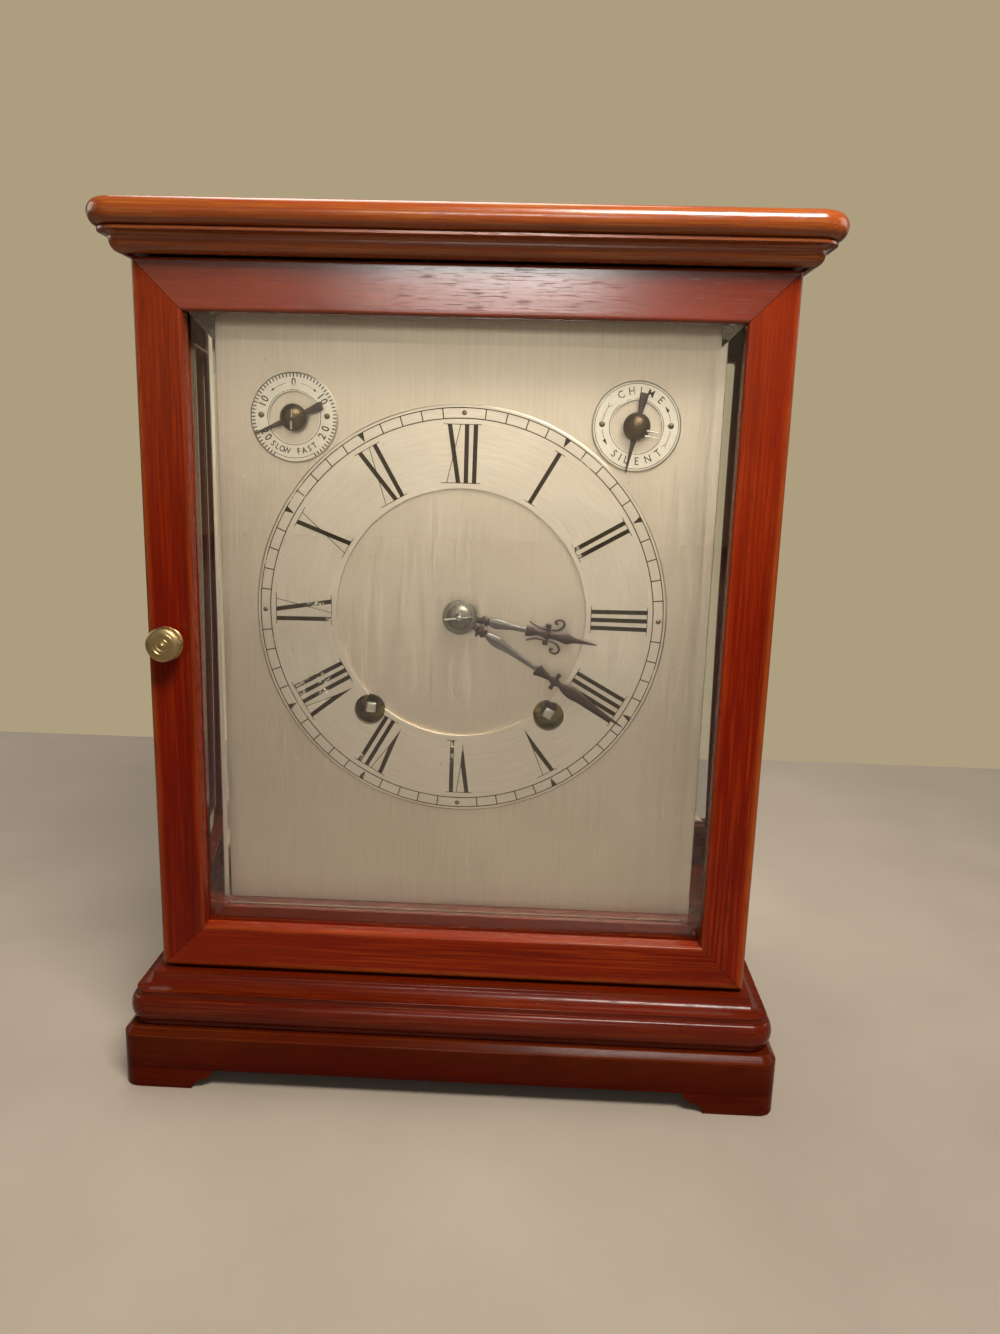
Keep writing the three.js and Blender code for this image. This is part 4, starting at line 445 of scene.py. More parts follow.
def frame_member(section, eased, length):
    """One mitred length of a frame, along X with its outer edge on top; section is (inset, depth).

    Each eased corner is (index, radius, wear and painted highlight share); beside a marked one the wood
    is marked a little way.
    """
    bm = wood_blank()
    corners = [Vector(corner) for corner in section]
    points = list(corners)
    for index, radius, arris_sheen_wear in sorted(eased, reverse=True):
        if arris_sheen_wear:
            corner, reach = corners[index], radius + SHEEN_WEAR_SPREAD
            before, after = corners[index - 1] - corner, corners[(index + 1) % len(corners)] - corner
            beside = (corner + before.normalized() * reach, corner + after.normalized() * reach)
            points[index:index + 1] = [beside[0], corner, beside[1]]
    end = bm.faces.new([bm.verts.new((-length / 2, depth, -inset)) for inset, depth in points])
    drawn_out(bm, [end], (length, 0, 0))
    for index, radius, arris_sheen_wear in eased:
        inset, depth = section[index]
        arris = edges_where(bm, lambda v: abs(v.co.y - depth) < 1e-3 and abs(v.co.z + inset) < 1e-3)
        rounded(bm, arris, radius, 5, arris_sheen_wear)
    for side in (-1, 1):
        sawn = bmesh.ops.bisect_plane(
            bm, geom=bm.verts[:] + bm.edges[:] + bm.faces[:], dist=1e-5,
            plane_co=(side * (length / 2 - 0.1), 0, 0), plane_no=(side, 0, -1), clear_outer=True,
        )["geom_cut"]
        bmesh.ops.edgeloop_fill(bm, edges=[e for e in sawn if isinstance(e, bmesh.types.BMEdge)])
    return bm


def hung(bm, quarter, half, facing, place):
    """Turns a member to its side of the frame, then the frame to its side of the case."""
    bmesh.ops.translate(bm, vec=(0, 0, half), verts=bm.verts)
    moved(bm, bm.verts, (0, 0, 0), 90 * quarter, "Y")
    moved(bm, bm.verts, place, facing, "Z")
    return bm


def framed(section, eased, width, height, facing, place):
    """Four members as one frame; the rails take the second material."""
    whole = bmesh.new()
    for quarter in range(4):
        length, across = (height, width) if quarter % 2 else (width, height)
        member = hung(frame_member(section, eased, length), quarter, across / 2, facing, place)
        for face in member.faces:
            face.material_index = (quarter + 1) % 2
        put_into(whole, member)
    return whole


HINGE_LEVELS = {"lower": 94.3, "upper": 262.3}
LEAF_EDGE, LEAF_HALF, LET_IN = 105, 12, 0.1


def let_in(cuts, y):
    """Cuts the beds of both hinges on the right side, to a depth given along Y."""
    half = LEAF_HALF + LET_IN
    for level in HINGE_LEVELS.values():
        block(cuts, (LEAF_EDGE - LET_IN, 117), sorted(y), (level - half, level + half))


KNOB_X, KNOB_Z = -106.25, 177.0
CASE_MIDDLE = 178.3
side_section = [(0, 0), (26, 0), (26, 4.8), (20.7, 4.8), (20.7, 9.2), (26, 9.2), (26, 14), (0, 14)]
# The outer arrises are painted pale orange by a share: part wear, part painted highlight.
side_eased = [(0, 1.2, 0.5), (1, 1.2, 0.3), (6, 0.8, 0)]
pocket_z = (KNOB_Z - 4.6, KNOB_Z + 4.6)
for hand, sx in (("left", -1), ("right", 1)):
    side = framed(side_section, side_eased, 117.4, 268.4, 90 * sx, (CASE_X * sx, 0, CASE_MIDDLE))
    cuts = bmesh.new()
    for face in (-1, 1):
        if hand == "right":
            let_in(cuts, (face * 59.7, face * 57.5))
        else:
            for half, mouth, floor in ((2.6, 59.7, 55), (4.6, 56.1, 52.7)):
                block(cuts, (KNOB_X - half, KNOB_X + half), sorted((face * mouth, face * floor)), pocket_z)
    settle(
        shaped_by(side, cuts), f"side_frame_{hand}_wood", "case", "mahogany", f"side_frame_{hand}",
        mahogany(f"side_stile_{hand}_mahogany", (0.125, 0.006, 0.0006), ALONG_Z, (0.3 * sx, 0.2, 0)),
        mahogany(f"side_rail_{hand}_mahogany", (0.115, 0.0065, 0.0008), ALONG_Y, (0.1, 0.7 * sx, 0)),
    )

# Sill: the block across the bottom of the opening that the dial stands on, seen as a red band
# through the lower edge of the glass.
sill = bmesh.new()
block(sill, (-100.9, 100.9), (-58.7, -46.7), (44.1, 66.7))
rounded(sill, sill.edges[:], 0.6, 3)
sill_wood = mahogany("sill_mahogany", (0.055, 0.004, 0.0006), ALONG_X, (0, 0.9, 0.4))
settle(sill, "sill_block", "case", "mahogany", "dial_sill", sill_wood)

# Front door: two stiles and two rails with a rounded outer edge, mitred at the corners, each cut
# from its own piece so that colour and grain change at the mitre. A rebate behind takes the glass.
door_section = [(0, 0), (17.5, 0), (17.5, 6), (12.2, 6), (12.2, 16), (0, 16)]
# The outer arrises are painted pale orange by a share: part wear, part painted highlight.
door_eased = [(0, 2.2, 0.75), (1, 1.2, 0.3), (5, 0.4, 0)]
DOOR_WIDTH, DOOR_HEIGHT = 230, 266
front_lengths = [
    ("rail_top", (0.11, 0.006, 0.001), ALONG_X, (0.35, 0.1, 0.15), 0.66),
    ("stile_right", (0.14, 0.0062, 0.0006), ALONG_Z, (0.2, 0.45, 0.1), 0.12),
    ("rail_bottom", (0.16, 0.0085, 0.0006), ALONG_X, (0.75, 0.3, 0.55), 0.12),
    ("stile_left", (0.122, 0.0048, 0.0005), ALONG_Z, (0.9, 0.15, 0.3), 0.12),
]


def bore_for_knob(cuts, y):
    """Drills the stile for the catch's spindle, about a middle given along Y."""
    drill = bmesh.ops.create_cone(cuts, cap_ends=True, segments=24, radius1=2.3, radius2=2.3, depth=24)
    moved(cuts, drill["verts"], (KNOB_X, y, KNOB_Z), 90, "X")


for quarter, (label, ground, grain, shift, gloss) in enumerate(front_lengths):
    length, across = (DOOR_HEIGHT, DOOR_WIDTH) if quarter % 2 else (DOOR_WIDTH, DOOR_HEIGHT)
    eased = [(0, 1.2, 0.5), *door_eased[1:]] if label == "rail_top" else door_eased
    member = frame_member(door_section, eased, length)
    member = hung(member, quarter, across / 2, 0, (0, -CASE_Y, CASE_MIDDLE))
    cuts = bmesh.new()
    if label == "stile_right":
        let_in(cuts, (-60.2, -58))
    if label == "stile_left":
        bore_for_knob(cuts, -67)
    if cuts.verts:
        member = shaped_by(member, cuts)
    else:
        cuts.free()
    settle(
        member, f"front_{label}_wood", "front_door", "mahogany", f"front_door_{label}",
        mahogany(f"front_{label}_mahogany", ground, grain, shift, gloss),
    )

# Back door: the same door for the back of the case, glued up as one frame.
back_frame = framed(door_section, door_eased, DOOR_WIDTH, DOOR_HEIGHT, 180, (0, CASE_Y, CASE_MIDDLE))
cuts = bmesh.new()
let_in(cuts, (58, 60.2))
bore_for_knob(cuts, 67)
settle(
    shaped_by(back_frame, cuts), "back_door_wood", "back_door", "mahogany", "back_door_frame",
    mahogany("back_stile_mahogany", (0.128, 0.006, 0.0006), ALONG_Z, (0.5, 0.65, 0.2)),
    mahogany("back_rail_mahogany", (0.12, 0.0075, 0.0008), ALONG_X, (0.15, 0.85, 0.6)),
)

# Beads: thin mitred quarter rounds, pinned into the rebates to hold the glass of both doors.
bead_section = [(12.3, 10.2), (17.2, 10.2), (17.2, 15), (12.3, 15)]
BEAD_RED = (0.09, 0.0055, 0.0008)
for end, facing, front in (("front", 0, -CASE_Y), ("back", 180, CASE_Y)):
    place = (0, front, CASE_MIDDLE)
    bead = framed(bead_section, [(2, 3.4, 0)], DOOR_WIDTH, DOOR_HEIGHT, facing, place)
    settle(
        bead, f"{end}_glass_bead", f"{end}_door", "mahogany", f"{end}_door_bead",
        mahogany(f"{end}_bead_stile_mahogany", BEAD_RED, ALONG_Z, (0.1, 0.2, 0.3)),
        mahogany(f"{end}_bead_rail_mahogany", BEAD_RED, ALONG_X, (0.3, 0.2, 0.1)),
    )

# Glass: four clear plates with a wide bevel ground and polished round the outer face, where it bends
# what lies behind. Old finger marks dull it a little, and lamplight passes through to the dial.
BEVEL_WIDTH, BEVEL_DROP, GLASS_THICK = 13.5, 3.3, 4
glass, glass_tree, glass_place, glass_face = new_finish("clear_glass")
glass_face.inputs["Base Color"].default_value = (0.965, 0.985, 0.975, 1)
glass_face.inputs["IOR"].default_value = 1.65
glass_face.inputs["Specular IOR Level"].default_value = 0.25
glass_face.inputs["Transmission Weight"].default_value = 1.0
smears = cloud(glass_tree, stretched(glass_tree, glass_place, (1, 1, 0.6)), 30, 4, 1.5)
glass_tree.links.new(between(glass_tree, smears, 0.58, 0.85, 0.0, 0.05), glass_face.inputs["Roughness"])
shadow_ray = node(glass_tree, "ShaderNodeLightPath").outputs["Is Shadow Ray"]
through = node(glass_tree, "ShaderNodeBsdfTransparent", Color=(0.95, 0.97, 0.96, 1))
lit_through = node(glass_tree, "ShaderNodeMixShader", Fac=shadow_ray)
glass_tree.links.new(glass_face.outputs[0], lit_through.inputs[1])
glass_tree.links.new(through.outputs[0], lit_through.inputs[2])
glass_tree.links.new(lit_through.outputs[0], glass_tree.nodes["Material Output"].inputs["Surface"])
panes = [
    ("front_door_glass", "front_pane", "front_door", 205, 241, 0, (0, -68.9, CASE_MIDDLE)),
    ("back_door_glass", "back_pane", "back_door", 205, 241, 180, (0, 68.9, CASE_MIDDLE)),
    ("side_glass_left", "left_pane", "case", 75.4, 226.4, -90, (-110, 0, CASE_MIDDLE)),
    ("side_glass_right", "right_pane", "case", 75.4, 226.4, 90, (110, 0, CASE_MIDDLE)),
]
for cad_node, name, body, width, height, facing, place in panes:
    pane = bmesh.new()
    block(pane, (-width / 2, width / 2), (BEVEL_DROP, GLASS_THICK), (-height / 2, height / 2))
    pane.normal_update()
    outer = [f for f in pane.faces if f.normal.y < -0.9]
    bmesh.ops.inset_region(pane, faces=outer, thickness=BEVEL_WIDTH, depth=BEVEL_DROP, use_even_offset=True)
    moved(pane, pane.verts, place, facing, "Z")
    settle(pane, name, body, "glass", cad_node, glass, crease=4)

# Hinges: solid drawn brass butts, let in flush. The case leaf has the two outer knuckles and the
# pin, the door leaf the middle knuckle, and three countersunk screws hold each leaf.
AGED_BRASS, TARNISH = (0.46, 0.315, 0.115), (0.13, 0.085, 0.04)
aged_metal, metal_in, metal_out = new_effect(
    "aged metal", ("Place", "Vector"), ("Metal", "Color"), ("Tarnish", "Color"), ("Age", "Float"),
    ("Gloss", "Float"),
)
patches = cloud(aged_metal, metal_in["Place"], 110, 5, 0.4)
specks = cloud(aged_metal, metal_in["Place"], 900, 3)
lines = cloud(aged_metal, stretched(aged_metal, metal_in["Place"], (1, 1, 0.04)), 2600, 2)
aged = maths(aged_metal, "MULTIPLY", between(aged_metal, patches, 0.32, 0.78), metal_in["Age"])
spots = maths(aged_metal, "MULTIPLY", between(aged_metal, specks, 0.6, 0.78), metal_in["Age"])
dark_share = maths(aged_metal, "MAXIMUM", aged, spots)
metal_colour = stained(aged_metal, dark_share, metal_in["Metal"], metal_in["Tarnish"])
dulled = maths(aged_metal, "ADD", metal_in["Gloss"], maths(aged_metal, "MULTIPLY", aged, 0.22))
put_out(aged_metal, metal_out, Color=metal_colour, Roughness=dulled, Height=lines)


def worked_metal(name, metal, tarnish, age, gloss, relief=0.05):
    """A metal with its own colour, tarnish and polish."""
    material, tree, where, surface = new_finish(name)
    finish = node(
        tree, "ShaderNodeGroup", {"node_tree": aged_metal}, Place=where, Metal=(*metal, 1),
        Tarnish=(*tarnish, 1), Age=age, Gloss=gloss,
    ).outputs
    surface.inputs["Metallic"].default_value = 1.0
    laid_on(tree, surface, finish, relief, 0.0001)
    return material


def spun(bm, points, centre, axis, steps):
    """Points joined in a line and spun right round an axis."""
    chain = [bm.verts.new(point) for point in points]
    edges = [bm.edges.new(pair) for pair in zip(chain, chain[1:])]
    bmesh.ops.spin(
        bm, geom=edges, cent=centre, axis=axis, angle=math.radians(360), steps=steps, use_merge=True,
    )


def turned(bm, profile, middle, axis, steps):
    """A lathe piece: (radius, reach) points spun round an axis along Y or Z through the middle."""
    x, y, z = middle
    if axis == "Y":
        spun(bm, [(x + radius, y + reach, z) for radius, reach in profile], middle, (0, 1, 0), steps)
    else:
        spun(bm, [(x + radius, y, z + reach) for radius, reach in profile], middle, (0, 0, 1), steps)
    bmesh.ops.remove_doubles(bm, verts=bm.verts, dist=1e-4)


def collar(inner, outer, low, high, ease):
    """The section of a turned collar with its outer edges eased."""
    return [
        (inner, low), (outer - ease, low), (outer, low + ease), (outer, high - ease), (outer - ease, high),
        (inner, high), (inner, low),
    ]


PIN_X, PIN_Y = 117.1, 58.85
hinge_brass = worked_metal("hinge_brass", AGED_BRASS, TARNISH, 0.6, 0.3)
for end, face in (("front", -1), ("back", 1)):
    for level, middle in HINGE_LEVELS.items():
        top, foot = middle + LEAF_HALF, middle - LEAF_HALF
        inner, outer = [(middle - 3.85, middle + 3.85)], [(foot, middle - 4.15), (middle + 4.15, top)]
        door_half = ("door", f"{end}_door", (59.0, 60.1), 59.0, face, inner)
        case_half = ("case", "case", (57.6, 58.7), 58.7, -face, outer)
        for kind, body, seat, meeting, into, knuckles in (door_half, case_half):
            leaf = bmesh.new()
            rows = sorted(face * y for y in seat)
            block(leaf, (LEAF_EDGE, 114.9), rows, (foot, top))
            rounded(leaf, leaf.edges[:], 0.15, 2)
            for low, high in knuckles:
                block(leaf, (114.5, PIN_X), rows, (low, high))
                turned(leaf, collar(0.9, 1.4, low, high, 0.25), (PIN_X, face * PIN_Y, 0), "Z", 24)
            if kind == "case":
                low, high = foot - 0.2, top + 0.2
                pin = [(0, low), (0.7, low), (0.8, low + 0.2), (0.8, high - 0.2), (0.7, high), (0, high)]
                turned(leaf, pin, (PIN_X, face * PIN_Y, 0), "Z", 16)
            screw = [(0, -0.08), (1.25, -0.08), (1.6, 0.1), (0, 0.5)]
            screw = [(radius, face * meeting + into * depth) for radius, depth in screw]
            for drop in (-8.5, 0, 8.5):
                turned(leaf, screw, (108.5, 0, middle + drop), "Y", 16)
            piece = f"{end}_{level}_hinge_{kind}_half"
            settle(leaf, piece, body, "brass", f"{end}_hinge_{level}_{kind}_leaf", hinge_brass)

# Turning catches: a brass knob with a milled edge, turned with rings round a small pip, on a spindle
# through the stile. Behind the door a riveted cam turns into its pocket in the case.
knob_brass = worked_metal("knob_brass", (0.44, 0.32, 0.15), (0.18, 0.125, 0.065), 0.75, 0.3, 0.3)
knob_profile = [
    (0, 9.7), (0.55, 9.62), (0.9, 9.3), (1.0, 9.05), (1.6, 8.95), (1.75, 9.05), (2.3, 9.1), (2.45, 8.95),
    (3.2, 8.95), (3.35, 9.08), (4.4, 9.05), (4.55, 8.9), (5.3, 8.85), (5.9, 8.6), (6.25, 8.15),
    (6.4, 7.6), (6.4, 4.7), (6.2, 4.3), (5.4, 3.85), (3.6, 3.3), (3.0, 2.6), (3.0, 1.9), (3.5, 1.3),
    (4.6, 0.9), (5.0, 0.6), (5.0, 0.3), (2.0, 0.3), (2.0, -21.7), (0, -21.7),
]
for end, face in (("front", -1), ("back", 1)):
    knob = bmesh.new()
    profile = [(radius, face * (CASE_Y + rise)) for radius, rise in knob_profile]
    turned(knob, profile, (KNOB_X, 0, KNOB_Z), "Y", 84)
    centre = Vector((KNOB_X, KNOB_Z))
    milled = [f for f in knob.faces if all((v.co.xz - centre).length > 6.35 for v in f.verts)]
    bmesh.ops.recalc_face_normals(knob, faces=knob.faces)
    bmesh.ops.inset_individual(knob, faces=milled, thickness=0.1, depth=-0.16, use_even_offset=True)
    thick = sorted((face * 53.3, face * 55.5))
    cam = block(knob, (KNOB_X - 2, KNOB_X + 2), thick, (KNOB_Z - 4, KNOB_Z + 4))
    ends = edges_where(knob, lambda v: v in cam)
    rounded(knob, [e for e in ends if abs(e.verts[0].co.y - e.verts[1].co.y) > 1], 1.9, 6)
    settle(knob, f"{end}_catch_knob", f"{end}_catch", "brass", f"{end}_door_knob", knob_brass)

# Dial plate: a sheet of silvered brass, grained up and down by hand and lacquered. Four feet riveted
# to its back go into the movement's front plate, and brass collets line both winding holes, their brass
# painted near black as painted shade inside the holes.
DULL_SILVER, FLY_SPECK = (0.42, 0.335, 0.25, 1), (0.2, 0.16, 0.11, 1)
silvering, silver_in, silver_out = new_effect(
    "silvering", ("Place", "Vector"), ("Graining", "Vector"), ("Silver", "Color"),
)
grained = cloud(silvering, silver_in["Graining"], 1.0, 2)
coarse = cloud(silvering, stretched(silvering, silver_in["Graining"], (0.22, 0.22, 0.5)), 1.0, 2)
breath = cloud(silvering, silver_in["Place"], 22, 4, 0.7)
fly_specks = between(silvering, cloud(silvering, silver_in["Place"], 420, 2), 0.75, 0.79)
fine_share = maths(silvering, "MULTIPLY", grained, 0.6)
strokes = maths(silvering, "ADD", fine_share, maths(silvering, "MULTIPLY", coarse, 0.4))
dull_share = maths(silvering, "MULTIPLY", between(silvering, breath, 0.35, 0.75), 0.3)
dull_share = maths(silvering, "ADD", dull_share, between(silvering, strokes, 0.35, 0.7, 0.0, 0.42))
silver_colour = stained(silvering, dull_share, silver_in["Silver"], DULL_SILVER)
silver_colour = stained(silvering, maths(silvering, "MULTIPLY", fly_specks, 0.5), silver_colour, FLY_SPECK)
brightness = between(silvering, strokes, 0.3, 0.7, 0.3, 0.46)
put_out(silvering, silver_out, Color=silver_colour, Roughness=brightness, Height=strokes)


def about_middle(tree, where, middle):
    """The radius and the angle about a middle in the dial's plane, given in millimetres."""
    shift = (-middle[0] * 0.001, 0, -middle[1] * 0.001)
    from_middle = node(tree, "ShaderNodeMapping", Vector=where, Location=shift).outputs[0]
    apart = node(tree, "ShaderNodeSeparateXYZ", Vector=from_middle).outputs
    squares = [maths(tree, "MULTIPLY", apart[i], apart[i]) for i in (0, 2)]
    return maths(tree, "SQRT", maths(tree, "ADD", *squares)), maths(tree, "ARCTAN2", apart[0], apart[2])


def silvered(name, silver, ring_at=None):
    """Silvered brass, grained up and down, or round a ring's middle where one is given."""
    material, tree, where, surface = new_finish(name)
    if ring_at:
        radius, around = about_middle(tree, where, ring_at)
        across, along = maths(tree, "MULTIPLY", radius, 3400), maths(tree, "MULTIPLY", around, 6)
        graining = node(tree, "ShaderNodeCombineXYZ", X=across, Z=along).outputs[0]
    else:
        graining = stretched(tree, where, (3000, 3000, 40))
    finish = node(
        tree, "ShaderNodeGroup", {"node_tree": silvering}, Place=where, Graining=graining,
        Silver=(*silver, 1),
    ).outputs
    surface.inputs["Metallic"].default_value = 1.0
    laid_on(tree, surface, finish, 0.8, 0.0001)
    return material


def pierced_sheet(half_width, low, high, front, thick, holes):
    """A squared sheet in the dial's plane, drilled; the holes are ((x, z), radius, steps)."""
    bm = bmesh.new()
    outline = ((-half_width, low), (half_width, low), (half_width, high), (-half_width, high))
    rim = [bm.verts.new((x, front, z)) for x, z in outline]
    edges = [bm.edges.new((rim[i], rim[(i + 1) % 4])) for i in range(4)]
    for (x, z), radius, steps in holes:
        hole = bmesh.ops.create_circle(bm, cap_ends=False, segments=steps, radius=radius)["verts"]
        moved(bm, hole, (x, front, z), 90, "X")
        edges += list(dict.fromkeys(edge for vert in hole for edge in vert.link_edges))
    bmesh.ops.triangle_fill(bm, edges=edges, use_beauty=True, use_dissolve=False, normal=(0, -1, 0))
    drawn_out(bm, bm.faces[:], (0, thick, 0))
    bmesh.ops.recalc_face_normals(bm, faces=bm.faces)
    return bm


def coated(bm, before, index):
    """Gives the faces that were not there before another of the piece's materials."""
    for face in set(bm.faces) - before:
        face.material_index = index


DIAL_X, DIAL_Z, DIAL_FACE = 0, 187.3, -53
SMALL_DIAL_X, SMALL_DIAL_Z = 63.35, 259.55
WINDING_X, WINDING_Z, WINDING_HOLE = 35.2, 148.7, 6
holes = [((DIAL_X, DIAL_Z), 5, 40)]
for sx in (-1, 1):
    holes += [((sx * WINDING_X, WINDING_Z), WINDING_HOLE, 56), ((sx * SMALL_DIAL_X, SMALL_DIAL_Z), 1.9, 28)]
plate = pierced_sheet(92.7, 66.8, 300.3, DIAL_FACE, 1.5, holes)
arris = [e for e in plate.edges if e.calc_face_angle(0) > 1.2]
rounded(plate, [e for e in arris if all(v.co.y < DIAL_FACE + 0.1 for v in e.verts)], 0.3, 2)
foot = [(0, -38.1), (2.2, -38.1), (2.5, -38.5), (2.5, -50.4), (3.6, -51.2), (3.6, -51.6), (0, -51.6)]
for sx in (-1, 1):
    for sz in (-1, 1):
        turned(plate, foot, (52 * sx, 0, DIAL_Z + 50 * sz), "Y", 20)
before = set(plate.faces)
collet = [(6, -51.45), (7.2, -51.45), (7.2, -43), (6.9, -42.7), (6.3, -42.7), (6, -43), (6, -51.45)]
for sx in (-1, 1):
    turned(plate, collet, (sx * WINDING_X, 0, WINDING_Z), "Y", 48)
coated(plate, before, 1)
plate_silver = silvered("dial_silver", (0.555, 0.462, 0.367))
# Painted shade: the collets' brass is painted near black so that the winding holes look dark inside.
shaded_collet_brass = worked_metal("shaded_collet_brass", (0.075, 0.045, 0.016), (0.02, 0.011, 0.005), 0.6, 0.2)
settle(
    plate, "silvered_dial", "case", "silvered_brass", "dial_plate", plate_silver, shaded_collet_brass, crease=25,
)

# Chapter ring: a turned and silvered ring with the hours cut in and filled with black wax, which is
# worn away in places so that the metal shines through. Four rivets hold it, at XII, III, VI and IX.
WAX = (0.010, 0.0052, 0.0015, 1)
BARE_METAL = (0.55, 0.5, 0.38, 1)
RING_FACE, RING_SEAT = -54.2, -53.1
WAX_STAND, WAX_DEPTH = 0.03, 0.2


def waxed(name, worn_from):
    """Black wax in cut lines, gone through to the metal in flecks where a slow cloud passes a level."""
    material, tree, where, surface = new_finish(name)
    worn_places = between(tree, cloud(tree, where, 62, 2), worn_from, worn_from + 0.07)
    flecks = between(tree, cloud(tree, where, 900, 3), 0.47, 0.56)
    pale_marks = maths(tree, "MULTIPLY", worn_places, flecks)
    surface.inputs["Specular IOR Level"].default_value = 0.03
    tree.links.new(stained(tree, pale_marks, WAX, BARE_METAL), surface.inputs["Base Color"])
    tree.links.new(pale_marks, surface.inputs["Metallic"])
    tree.links.new(between(tree, pale_marks, 0, 1, 0.5, 0.3), surface.inputs["Roughness"])
    return material


def mesh_of(curve):
    """The mesh of a curve or a letter, which is then cleared away."""
    carrier = bpy.data.objects.new("carrier", curve)
    bpy.context.scene.collection.objects.link(carrier)
    bpy.context.view_layer.update()
    mesh = bpy.data.meshes.new_from_object(carrier)
    bpy.data.objects.remove(carrier)
    bpy.data.curves.remove(curve)
    return mesh


class Engraver:
    """Lays waxed figures on a ring's face, placed by the angle from the top and the radius."""

    def __init__(self, bm, x, z):
        self.bm, self.x, self.z = bm, x, z

    def at(self, angle, across, radius):
        turn = math.radians(angle)
        right, up = math.cos(turn), math.sin(turn)
        x, z = self.x + across * right + radius * up, self.z - across * up + radius * right
        return (x, RING_FACE - WAX_STAND, z)

    def patch(self, angle, corners):
        """A filled cut with straight sides; corners are (across, radius)."""
        before = set(self.bm.faces)
        face = self.bm.faces.new([self.bm.verts.new(self.at(angle, *corner)) for corner in corners])
        drawn_out(self.bm, [face], (0, WAX_DEPTH, 0))
        coated(self.bm, before, 1)

    def stroke(self, angle, start, end, width):
        """A straight cut of one width between two points."""
        start, end = Vector(start), Vector(end)
        along = (end - start).normalized() * (width / 2)
        side = Vector((-along.y, along.x))
        self.patch(angle, [start + side, end + side, end - side, start - side])

    def bar(self, angle, top, bottom, width, high, low):
        """An upright of a numeral, square at both ends."""
        half = width / 2
        head = [(top - half, high), (top + half, high)]
        foot = [(bottom + half, low), (bottom - half, low)]
        self.patch(angle, head + foot)

    def circle(self, radius, width, steps=144, start=0, sweep=360):
        """A line round the middle, or a part of one from a starting angle."""
        before = set(self.bm.faces)
        inner, outer, front = radius - width / 2, radius + width / 2, RING_FACE - WAX_STAND
        deep = front + WAX_DEPTH
        turn = math.radians(start)
        chain = [
            self.bm.verts.new((self.x + r * math.sin(turn), y, self.z + r * math.cos(turn)))
            for r, y in ((inner, front), (outer, front), (outer, deep), (inner, deep))
        ]
        edges = [self.bm.edges.new((chain[i], chain[(i + 1) % 4])) for i in range(4)]
        bmesh.ops.spin(
            self.bm, geom=edges, cent=(self.x, 0, self.z), axis=(0, 1, 0), angle=math.radians(sweep),
            steps=steps, use_merge=sweep == 360,
        )
        if sweep != 360:
            cut = set(self.bm.faces) - before
            bmesh.ops.holes_fill(self.bm, edges=[e for f in cut for e in f.edges if e.is_boundary])
        coated(self.bm, before, 1)

    def letter(self, sign, angle, radius, height, narrow, tops, fine):
        """One letter or figure, struck singly with its middle at the angle and radius."""
        text = bpy.data.curves.new("sign", "FONT")
        text.body, text.align_x, text.align_y = sign, "CENTER", "CENTER"
        text.extrude, text.offset, text.resolution_u = WAX_DEPTH / 2, fine, 3
        mesh = mesh_of(text)
        size = height / 0.72
        stand = Matrix.Rotation(math.radians(90), 4, "X") @ Matrix.Diagonal((size * narrow, size, 1, 1))
        heading = Matrix.Rotation(math.radians(angle if tops == "out" else angle + 180), 4, "Y")
        spot = Vector(self.at(angle, 0, radius)) + Vector((0, WAX_DEPTH / 2, 0))
        mesh.transform(Matrix.Translation(spot) @ heading @ stand)
        before = set(self.bm.faces)
        self.bm.from_mesh(mesh)
        bpy.data.meshes.remove(mesh)
        coated(self.bm, before, 1)


def ring_blank(x, z, inner, outer, steps):
    """A turned ring with a fine inner edge and an eased outer one."""
    blank = bmesh.new()
    profile = [
        (inner, RING_SEAT), (inner, RING_FACE + 0.06), (inner + 0.06, RING_FACE), (outer - 0.5, RING_FACE),
        (outer, RING_FACE + 0.4), (outer, RING_SEAT), (inner, RING_SEAT),
    ]
    turned(blank, profile, (x, 0, z), "Y", steps)
    return blank


def rivet(bm, x, z, radius):
    """A domed rivet through a ring, of the third of its materials."""
    dome = [(0, -0.55), (radius * 0.5, -0.47), (radius * 0.85, -0.25), (radius, 0.1), (0, 0.1)]
    before = set(bm.faces)
    turned(bm, [(r, RING_FACE + rise) for r, rise in dome], (x, 0, z), "Y", 18)
    coated(bm, before, 2)


chapter = ring_blank(DIAL_X, DIAL_Z, 48, 78.8, 240)
bores = bmesh.new()
for sx in (-1, 1):
    drill = [(0, -56), (WINDING_HOLE, -56), (WINDING_HOLE, -52), (0, -52)]
    turned(bores, drill, (sx * WINDING_X, 0, WINDING_Z), "Y", 56)
chapter = shaped_by(chapter, bores)
hours = Engraver(chapter, DIAL_X, DIAL_Z)
TRACK_IN, TRACK_OUT = 73.6, 77.4
hours.circle(TRACK_OUT, 0.38)
hours.circle(TRACK_IN, 0.38)
for minute in range(60):
    if minute % 5:
        hours.stroke(minute * 6, (0, TRACK_IN), (0, TRACK_OUT), 0.42)
    elif minute % 15:
        hours.patch(minute * 6, [(-1.2, 77.5), (1.2, 77.5), (0.12, 74.1), (-0.12, 74.1)])
HOUR_TOP, HOUR_FOOT, HAIR_LINE, SERIF = 71.4, 50.0, 0.26, 2.2
NUMERALS = ("XII", "I", "II", "III", "IIII", "V", "VI", "VII", "VIII", "I X", "X", "XI")
ADVANCE = {"I": 3.3, "V": 5.1, "X": 5.4, " ": 1.3}
